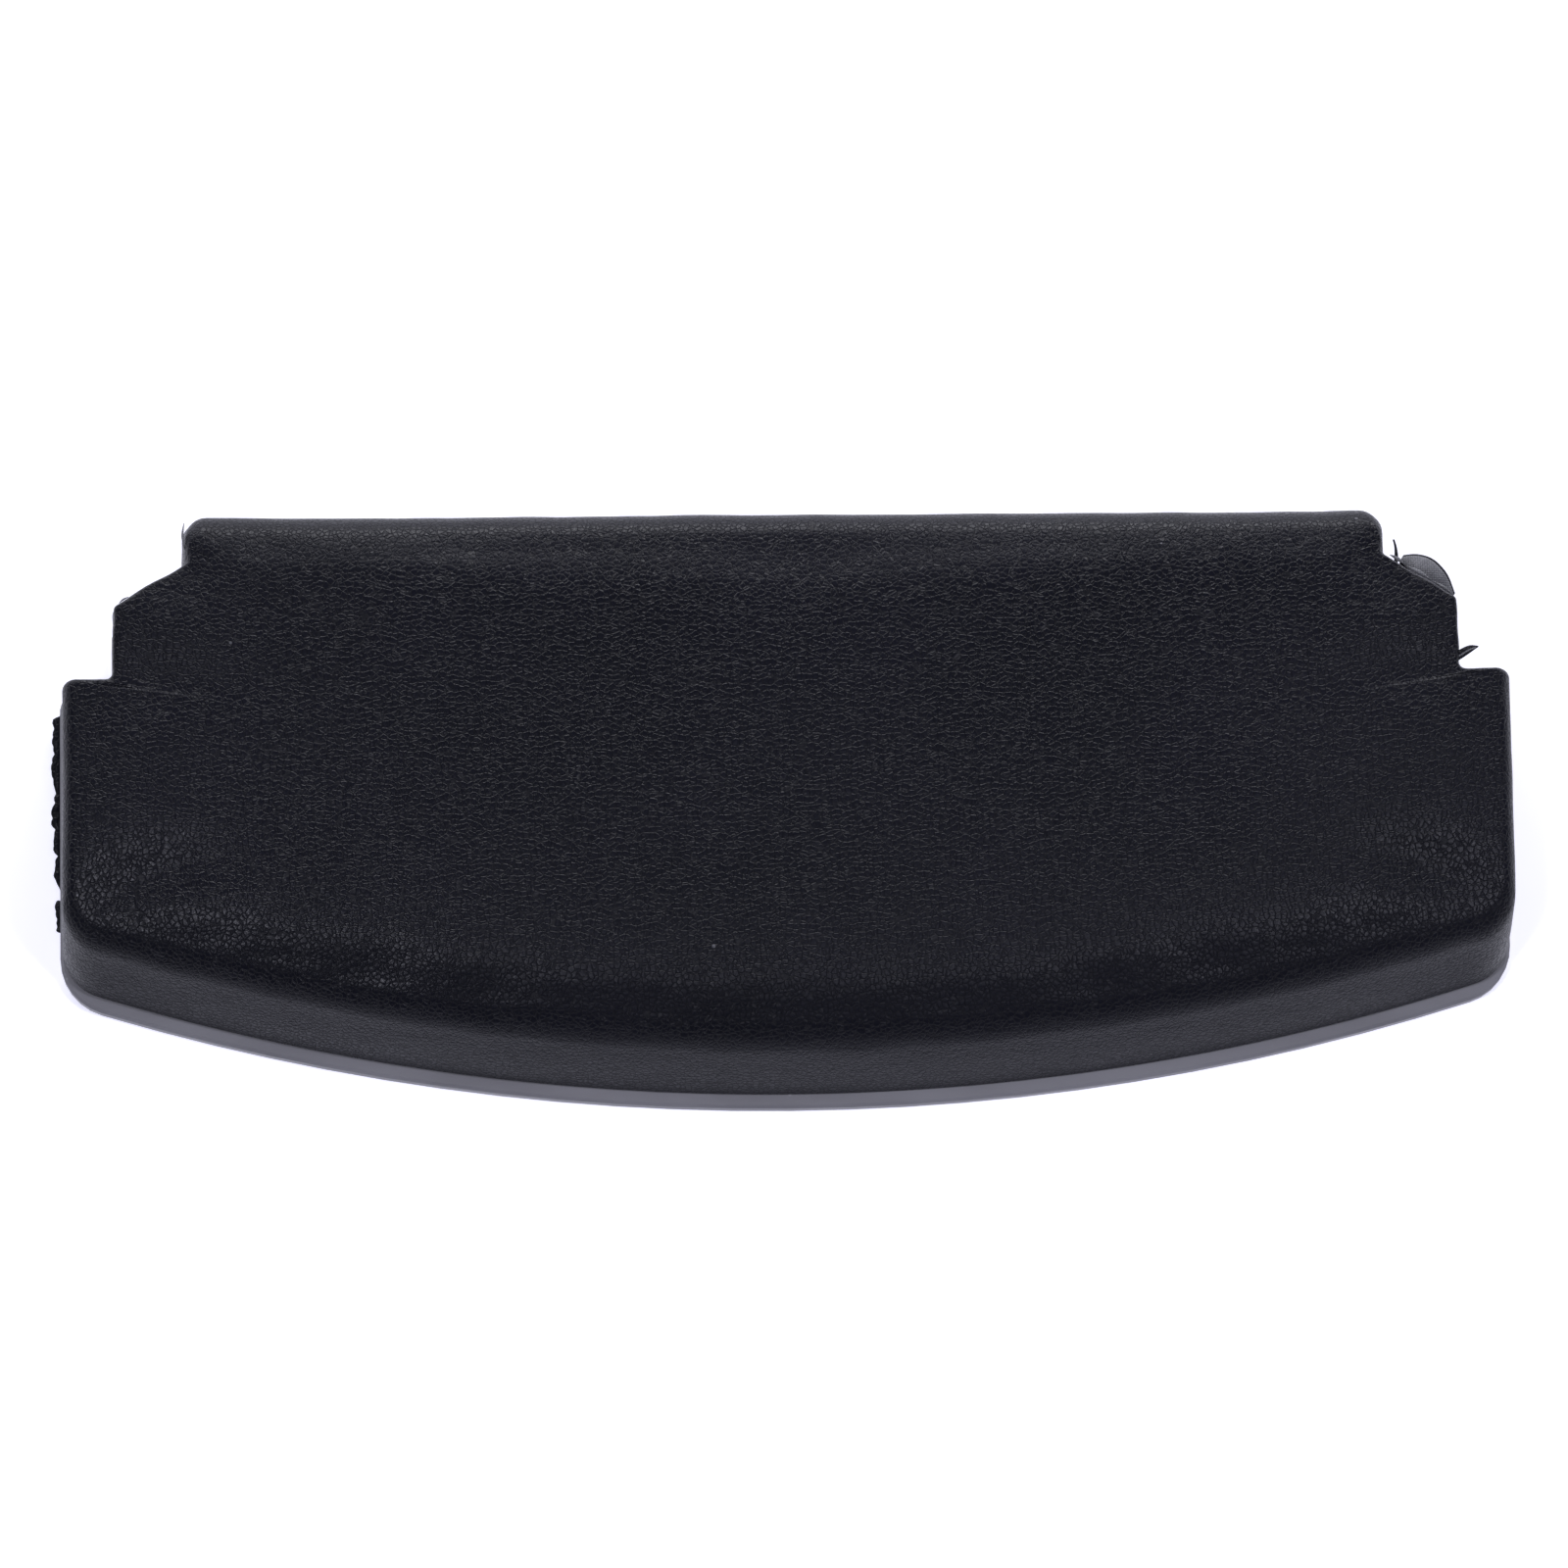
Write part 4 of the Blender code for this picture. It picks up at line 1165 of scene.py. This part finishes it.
def nut_mesh():
    low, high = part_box(nut_nodes[0])
    top = high[2]
    flange = (high[0] - low[0]) / 2
    flange_bottom = top - FLANGE_THICKNESS
    barrel_end = low[2]
    barrel = NUT_BARREL
    outside = [(NUT_THREAD + 0.45 * MM, top), (flange - 0.5 * MM, top),
               (flange - 0.15 * MM, top - 0.15 * MM), (flange, top - 0.5 * MM),
               (flange, flange_bottom + 0.3 * MM), (flange - 0.2 * MM, flange_bottom),
               (barrel + 0.6 * MM, flange_bottom), (barrel + 0.1 * MM, flange_bottom - 0.3 * MM),
               (barrel, flange_bottom - 0.8 * MM), (barrel, barrel_end + 0.3 * MM),
               (barrel - 0.25 * MM, barrel_end), (NUT_THREAD + 0.35 * MM, barrel_end)]
    rows = [(radius, height, 0.0, 1.0) for radius, height in outside]
    thread_rows = 46
    for step in range(thread_rows + 1):
        share = step / thread_rows
        height = barrel_end + 0.3 * MM + share * (top - barrel_end - 0.7 * MM)
        fade = min(1.0, 6 * share, 6 * (1 - share))
        rows.append((NUT_THREAD, height, 0.5 * MM * fade, NUT_PITCH))
    mesh = lathe("tee_nut", rows, 28, closed=True)
    build = bmesh.new()
    build.from_mesh(mesh)
    for quarter in range(4):
        prong_blade(build, math.pi / 4 + quarter * math.pi / 2, flange - 0.8 * MM,
                    flange_bottom - PRONG_REACH, flange_bottom + 0.6 * MM)
    bmesh.ops.recalc_face_normals(build, faces=build.faces)
    build.to_mesh(mesh)
    build.free()
    return mesh


nut_places = [((*node_centre(node), 0.0), 0.0) for node in nut_nodes]
copies_of("tee_nuts", nut_mesh(), nut_places, NUT_STEEL, nut_nodes, 0.02)

# %% [markdown]
# ### Screws
#
# Six countersunk self-tapping screws hold the plate. Their cross recess is cut with two tapered
# blades, and their shank carries a coarse thread that runs out at the point.

# %% Screws
SCREW_PITCH = 1.35 * MM
SCREW_NECK = 1.9 * MM
SCREW_CORE = 1.25 * MM
SCREW_THREAD = 0.62 * MM
RECESS_SPAN = 3.8 * MM
RECESS_WIDTH = 0.9 * MM


def recess_blade(name, turned_by):
    """Tapered blade that cuts one arm of the cross."""
    build = bmesh.new()
    rings = []
    for height, span, width in ((-1.0 * MM, 1.15, 1.2), (1.5 * MM, 0.42, 0.7)):
        half_span = RECESS_SPAN / 2 * span
        half_width = RECESS_WIDTH / 2 * width
        corners = ((-half_span, -half_width), (half_span, -half_width),
                   (half_span, half_width), (-half_span, half_width))
        turn = Matrix.Rotation(turned_by, 4, "Z")
        rings.append([build.verts.new(turn @ Vector((x, y, height))) for x, y in corners])
    bridge(build, rings)
    return add_object(name, mesh_from(name, build))


def screw_mesh():
    low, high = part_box(screw_nodes[0])
    head = (high[0] - low[0]) / 2
    under = low[2]
    tip = high[2]
    neck = under + SCREW_NECK
    rows = [(0.0, tip, 0.0, 1.0), (0.3 * MM, tip - 0.5 * MM, 0.0, 1.0)]
    thread_rows = 44
    for step in range(thread_rows + 1):
        share = step / thread_rows
        height = tip - 0.9 * MM - share * (tip - 0.9 * MM - neck - 0.3 * MM)
        grow = min(1.0, 3.2 * share + 0.25)
        depth = SCREW_THREAD * min(grow, 6 * (1 - share))
        rows.append((SCREW_CORE * grow, height, depth, SCREW_PITCH))
    rows += [(SCREW_CORE, neck, 0.0, 1.0), (head - 0.12 * MM, under + 0.35 * MM, 0.0, 1.0),
             (head, under + 0.26 * MM, 0.0, 1.0), (head, under + 0.10 * MM, 0.0, 1.0),
             (head - 0.10 * MM, under, 0.0, 1.0), (0.0, under, 0.0, 1.0)]
    screw = add_object("screw_blank", lathe("screw_blank", rows, 24, closed=False))
    blades = [recess_blade("recess_blade", 0.0), recess_blade("recess_blade", math.pi / 2)]
    subtract(screw, blades)
    mesh = evaluated_mesh(screw)
    remove_objects(*blades, screw)
    return mesh


screw_places = [((*node_centre(node), 0.0), 0.9 * number)
                for number, node in enumerate(screw_nodes)]
copies_of("base_screws", screw_mesh(), screw_places, SCREW_STEEL, screw_nodes, 0.5)

# %% [markdown]
# ### Staples
#
# The staples that hold the hem are one bent wire each. Geometry Nodes draws the wire as a curve of
# four points, rounds its corners and gives it a round section, so crown, leg, bend and wire are
# plain inputs. A little unevenness in their turn looks like hand work.

# %% Staples


def staple_tree():
    sizes = [(label, "NodeSocketFloat") for label in ("Crown", "Leg", "Bend", "Wire", "Height")]
    tree, start, end, sockets = tree_with_inputs("staples_on_points", sizes + COMMON_INPUTS)
    line = add_node(tree, "GeometryNodeCurvePrimitiveLine")
    four = add_node(tree, "GeometryNodeResampleCurve", {"Curve": line.outputs[0], "Count": 4})
    index = add_node(tree, "GeometryNodeInputIndex").outputs[0]
    right = math_node(tree, "GREATER_THAN", index, 1.5)
    side = math_node(tree, "MULTIPLY_ADD", right, 2.0, -1.0)
    half = math_node(tree, "MULTIPLY", start.outputs["Crown"], 0.5)
    half = math_node(tree, "SUBTRACT", half, start.outputs["Wire"])
    from_middle = math_node(tree, "ABSOLUTE", math_node(tree, "SUBTRACT", index, 1.5))
    is_end = math_node(tree, "GREATER_THAN", from_middle, 1.0)
    leg = math_node(tree, "SUBTRACT", start.outputs["Leg"], start.outputs["Wire"])
    up = math_node(tree, "MULTIPLY", is_end, leg)
    place = add_node(tree, "ShaderNodeCombineXYZ", {
        "X": math_node(tree, "MULTIPLY", side, half),
        "Z": math_node(tree, "ADD", up, start.outputs["Height"])})
    move = add_node(tree, "GeometryNodeSetPosition", {
        "Geometry": four.outputs[0], "Position": place.outputs[0]})
    fillet = add_node(tree, "GeometryNodeFilletCurve", mode="POLY")
    feed(tree, fillet, {
        "Curve": move.outputs[0], "Radius": start.outputs["Bend"], "Count": 5})
    section = add_node(tree, "GeometryNodeCurvePrimitiveCircle", {
        "Resolution": 10, "Radius": start.outputs["Wire"]})
    wire = add_node(tree, "GeometryNodeCurveToMesh", {
        "Curve": fillet.outputs[0], "Profile Curve": section.outputs[0], "Fill Caps": True})
    link_copies(tree, start, end, wire.outputs[0])
    return tree, sockets


def staple_places():
    places = []
    for node in staple_nodes:
        x, y = node_centre(node)
        low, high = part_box(node)
        along = high[0] - low[0]
        across = high[1] - low[1]
        if along > across:
            turn = math.copysign(math.asin(min(abs(x) / (BOW_RADIUS - 10 * MM), 1.0)), x)
            turn *= y < 0
        else:
            turn = math.pi / 2
        places.append(((x, y, 0.0), turn))
    return places


STAPLE_CROWN = 10.0 * MM
STAPLE_BEND = 0.8 * MM
STAPLE_WIRE = 0.4 * MM


def make_staples():
    low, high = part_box(staple_nodes[0])
    tree, sockets = staple_tree()
    mesh = run_tree("staples", places_mesh("staples", staple_places()), tree, sockets, {
        "Crown": STAPLE_CROWN, "Leg": high[2] - low[2], "Bend": STAPLE_BEND, "Wire": STAPLE_WIRE,
        "Height": low[2] + STAPLE_WIRE, "Seed": 11, "Unevenness": 0.02, "Material": WIRE_STEEL})
    mesh.set_sharp_from_angle(angle=math.radians(50))
    return finish_piece("staples", mesh, WIRE_STEEL, staple_nodes)


make_staples()

# %% [markdown]
# ## Loose ends of the cover
#
# The cover was slit and trimmed by hand at the notches, and bits of it still show: a tongue of the
# grey woven backing turned out at one notch, cut threads along both, a small tab, and ragged strips
# of trimmed cover that peep out beside the plate. All of them are thin lens-shaped slivers that
# follow a path, so one function makes each from a list of points and half widths.

# %% Sliver helper


def sliver(build, points, half_widths, thickness, sides=10):
    """Closed thin form along a path, as wide as the half widths and as thick as given."""
    points = [Vector(point) for point in points]
    rings = []
    for index, point in enumerate(points):
        ahead = points[min(index + 1, len(points) - 1)] - points[max(index - 1, 0)]
        wide = Vector((0, 0, 1)).cross(ahead).normalized()
        up = ahead.normalized().cross(wide).normalized()
        line = []
        for side in range(sides):
            angle = math.tau * side / sides
            bulge = min(1.0, half_widths[index] / (0.5 * thickness))
            line.append(build.verts.new(point + wide * (half_widths[index] * math.cos(angle))
                                        + up * (thickness / 2 * bulge * math.sin(angle))))
        rings.append(line)
    bridge(build, rings)


def smooth_path(points, values, steps):
    """Denser path through a few points, with a value beside each."""
    rows = np.array([(*point, value) for point, value in zip(points, values)])
    dense = np.linspace(0, len(rows) - 1, steps)
    result = []
    for place in dense:
        index = min(int(place), len(rows) - 2)
        part = place - index
        before = rows[max(index - 1, 0)]
        after = rows[min(index + 2, len(rows) - 1)]
        first, second = rows[index], rows[index + 1]
        result.append(0.5 * (2 * first + (second - before) * part
                             + (2 * before - 5 * first + 4 * second - after) * part ** 2
                             + (3 * first - before - 3 * second + after) * part ** 3))
    result = np.array(result)
    return [tuple(row[:3]) for row in result], [max(row[3], 0.04 * MM) for row in result]


def finish_slivers(name, build, material):
    bmesh.ops.recalc_face_normals(build, faces=build.faces)
    mesh = mesh_from(name, build)
    shade_round(mesh, 60)
    return finish_piece(name, mesh, material)


CHAMFER_ALONG = Vector((CHAMFER_RUN, -CHAMFER_DROP)).normalized()
CHAMFER_OUT = Vector((CHAMFER_DROP, CHAMFER_RUN)).normalized()


def off_chamfer(along, out, height, side=1):
    """Point beside a notch's slanted wall, in millimetres along it, off the wall and up."""
    corner = Vector((STRIP_X, REAR_Y - STRIP_DEPTH))
    wall = edge_insets(height * MM)[2]
    point = corner + CHAMFER_ALONG * along * MM + CHAMFER_OUT * (out * MM - wall)
    return (side * point.x, point.y, height * MM)


# %% Backing that shows
FLAP = ((2.3, 2.9, 14.0, 0.5), (4.3, 3.1, 14.8, 1.5), (6.5, 3.1, 15.3, 2.0),
        (8.8, 2.9, 15.0, 1.8), (11.0, 2.5, 14.2, 1.2), (12.9, 2.3, 13.4, 0.1))
CUT_RUNS = (((0.4, 0.9, 21.0), (3.2, 0.7, 21.3), 0.34, 1),
            ((3.9, 0.6, 21.4), (8.3, 0.7, 21.2), 0.40, 1),
            ((9.0, 0.7, 21.3), (13.0, 0.5, 21.0), 0.30, 1),
            ((10.5, 0.2, 22.5), (12.4, 0.2, 22.3), 0.16, -1))
STRIP_CUT = (-7.0, -2.4)


def make_flap():
    """Tongue of woven backing turned out at the right notch, with the dark coating round it."""
    places = [off_chamfer(along, out, height) for along, out, height, half in FLAP]
    halves = [half * MM for along, out, height, half in FLAP]
    points, widths = smooth_path(places, halves, 28)
    cloth = bmesh.new()
    sliver(cloth, points, widths, 0.7 * MM, sides=16)
    coating = bmesh.new()
    below = [(x, y, z - 0.45 * MM) for x, y, z in points]
    sliver(coating, below, [width + 0.45 * MM for width in widths], 0.6 * MM, sides=16)
    hook = [off_chamfer(*place) for place in (
        (-0.5, 4.2, 18.0), (0.5, 3.2, 18.0), (1.6, 1.6, 17.5), (2.4, -0.4, 17.0))]
    points, widths = smooth_path(hook, [0.15 * MM, 0.22 * MM, 0.34 * MM, 0.16 * MM], 14)
    sliver(coating, points, widths, 0.35 * MM, sides=8)
    return cloth, coating


def add_tab(cloth, coating):
    """Loose black tab beside the step of the right notch."""
    root = Vector((SHOULDER_X - 2.2 * MM, STEP_Y + 0.8 * MM, TOP - 1.8 * MM))
    places = [root, root + Vector((1.8, 1.1, 0.2)) * MM, root + Vector((3.6, 2.1, 0.3)) * MM,
              root + Vector((5.0, 2.5, 0.1)) * MM]
    points, widths = smooth_path(places, [0.7 * MM, 0.75 * MM, 0.6 * MM, 0.1 * MM], 14)
    sliver(coating, points, widths, 0.5 * MM)
    above = [Vector(point) + Vector((0.1, -0.15, 0.22)) * MM for point in points[3:12]]
    sliver(cloth, above, [0.13 * MM] * len(above), 0.18 * MM, sides=6)


def add_cut_edges(cloth):
    """Light slivers of backing along the cut edges of both notches."""
    for start, end, half, side in CUT_RUNS:
        ends = [Vector(off_chamfer(*start, side)), Vector(off_chamfer(*end, side))]
        middle = ends[0].lerp(ends[1], 0.55) + Vector((0.0, 0.12, 0.2)) * MM
        halves = [0.05 * MM, half * MM, 0.05 * MM]
        points, widths = smooth_path([ends[0], middle, ends[1]], halves, 12)
        sliver(cloth, points, widths, 0.3 * MM, sides=8)
    x = -(STRIP_X - edge_insets(TOP - 2.2 * MM)[3] - 0.05 * MM)
    low, high = STRIP_CUT
    ends = [Vector((x, REAR_Y + high * MM, TOP - 2.2 * MM)),
            Vector((x - 0.25 * MM, REAR_Y + (low + high) / 2 * MM, TOP - 2.0 * MM)),
            Vector((x + 0.1 * MM, REAR_Y + low * MM, TOP - 2.2 * MM))]
    points, widths = smooth_path(ends, [0.05 * MM, 0.2 * MM, 0.05 * MM], 12)
    sliver(cloth, points, widths, 0.3 * MM, sides=8)


cloth, coating = make_flap()
add_tab(cloth, coating)
add_cut_edges(cloth)
finish_slivers("backing_scraps", cloth, BACKING)

# %% Trimmings beside the plate
STRIP_START = STEP_Y - 1.5 * MM
STRIP_STEPS = 90


def add_side_strip(build, side, start, end, width, seed):
    """Ragged strip of trimmed cover along one side of the plate."""
    points = []
    widths = []
    edge = plate_high[0] - 0.15 * MM
    for step in range(STRIP_STEPS + 1):
        share = step / STRIP_STEPS
        y = start + (end - start) * share
        ragged = noise.noise(Vector((y * 260.0, seed, 0.0))) + 0.6 * noise.noise(
            Vector((y * 900.0, seed, 4.0)))
        swell = min(1.0, 26 * share, 10 * (1 - share))
        full = width * (1.0 - 0.25 * share + 0.55 * ragged) * swell
        full = max(full, 0.12 * MM)
        points.append((side * (edge + full / 2), y, 1.0 * MM + 0.25 * MM * ragged))
        widths.append(full / 2)
    sliver(build, points, widths, 0.55 * MM, sides=8)


add_side_strip(coating, -1, STRIP_START, -11.5 * MM, 1.5 * MM, 1.0)
add_side_strip(coating, -1, -12.8 * MM, -18.4 * MM, 1.0 * MM, 2.0)
add_side_strip(coating, 1, -13.4 * MM, -17.0 * MM, 0.9 * MM, 3.0)
finish_slivers("cover_scraps", coating, COVER)

# %% [markdown]
# ## The studio
#
# The pad lies on a white floor that glows a little, as a light table does, so the shadows stay
# soft and the steep edges pick up a pale reflection. A small lamp on each side gives the rolled
# front corners their sparkle, and the room above is dim, which keeps the top nearly black.

# %% Floor
FLOOR_GAP = 0.3 * MM
FLOOR_RADIUS = 3.0
FLOOR_GLOW = 0.41


def make_floor():
    build = bmesh.new()
    bmesh.ops.create_circle(build, cap_ends=True, segments=96, radius=FLOOR_RADIUS,
                            matrix=Matrix.Translation((0, 0, plate_low[2] - FLOOR_GAP)))
    mesh = mesh_from("floor", build)
    material = bpy.data.materials.new("floor_white")
    material.use_nodes = True
    feed(material.node_tree, material.node_tree.nodes["Principled BSDF"], {
        "Base Color": (0.85, 0.85, 0.86, 1.0), "Roughness": 0.9,
        "Emission Color": (1.0, 1.0, 1.2, 1.0), "Emission Strength": FLOOR_GLOW})
    mesh.materials.append(material)
    add_object("floor", mesh)


make_floor()

# %% Lamps
LAMPS = (("left_lamp", (-0.31, -0.18, 0.93), 1.2, 0.14, 0.18, 4.6, (1.0, 1.0, 1.15)),
         ("right_lamp", (0.38, -0.15, 0.91), 1.2, 0.14, 0.18, 4.6, (1.0, 1.0, 1.15)),
         ("rear_lamp", (0.0, 0.96, 0.27), 1.6, 2.2, 0.24, 40.0, (1.0, 1.0, 1.05)))
ROOM_COLOUR = (0.80, 0.84, 1.0, 1.0)
ROOM_GLOW = 0.18


def make_lamp(name, direction, distance, width, height, power, colour):
    """Soft rectangular lamp that faces the pad from a direction."""
    data = bpy.data.lights.new(name, "AREA")
    data.shape = "RECTANGLE"
    data.size = width
    data.size_y = height
    data.energy = power
    data.color = colour
    towards = Vector(direction).normalized()
    turn = towards.to_track_quat("Z", "Y").to_matrix().to_4x4()
    add_object(name, data).matrix_world = Matrix.Translation(towards * distance) @ turn


for settings in LAMPS:
    make_lamp(*settings)

world = bpy.data.worlds.new("dim_room")
world.use_nodes = True
feed(world.node_tree, world.node_tree.nodes["Background"], {
    "Color": ROOM_COLOUR, "Strength": ROOM_GLOW})
scene.world = world
scene.view_settings.view_transform = "Standard"
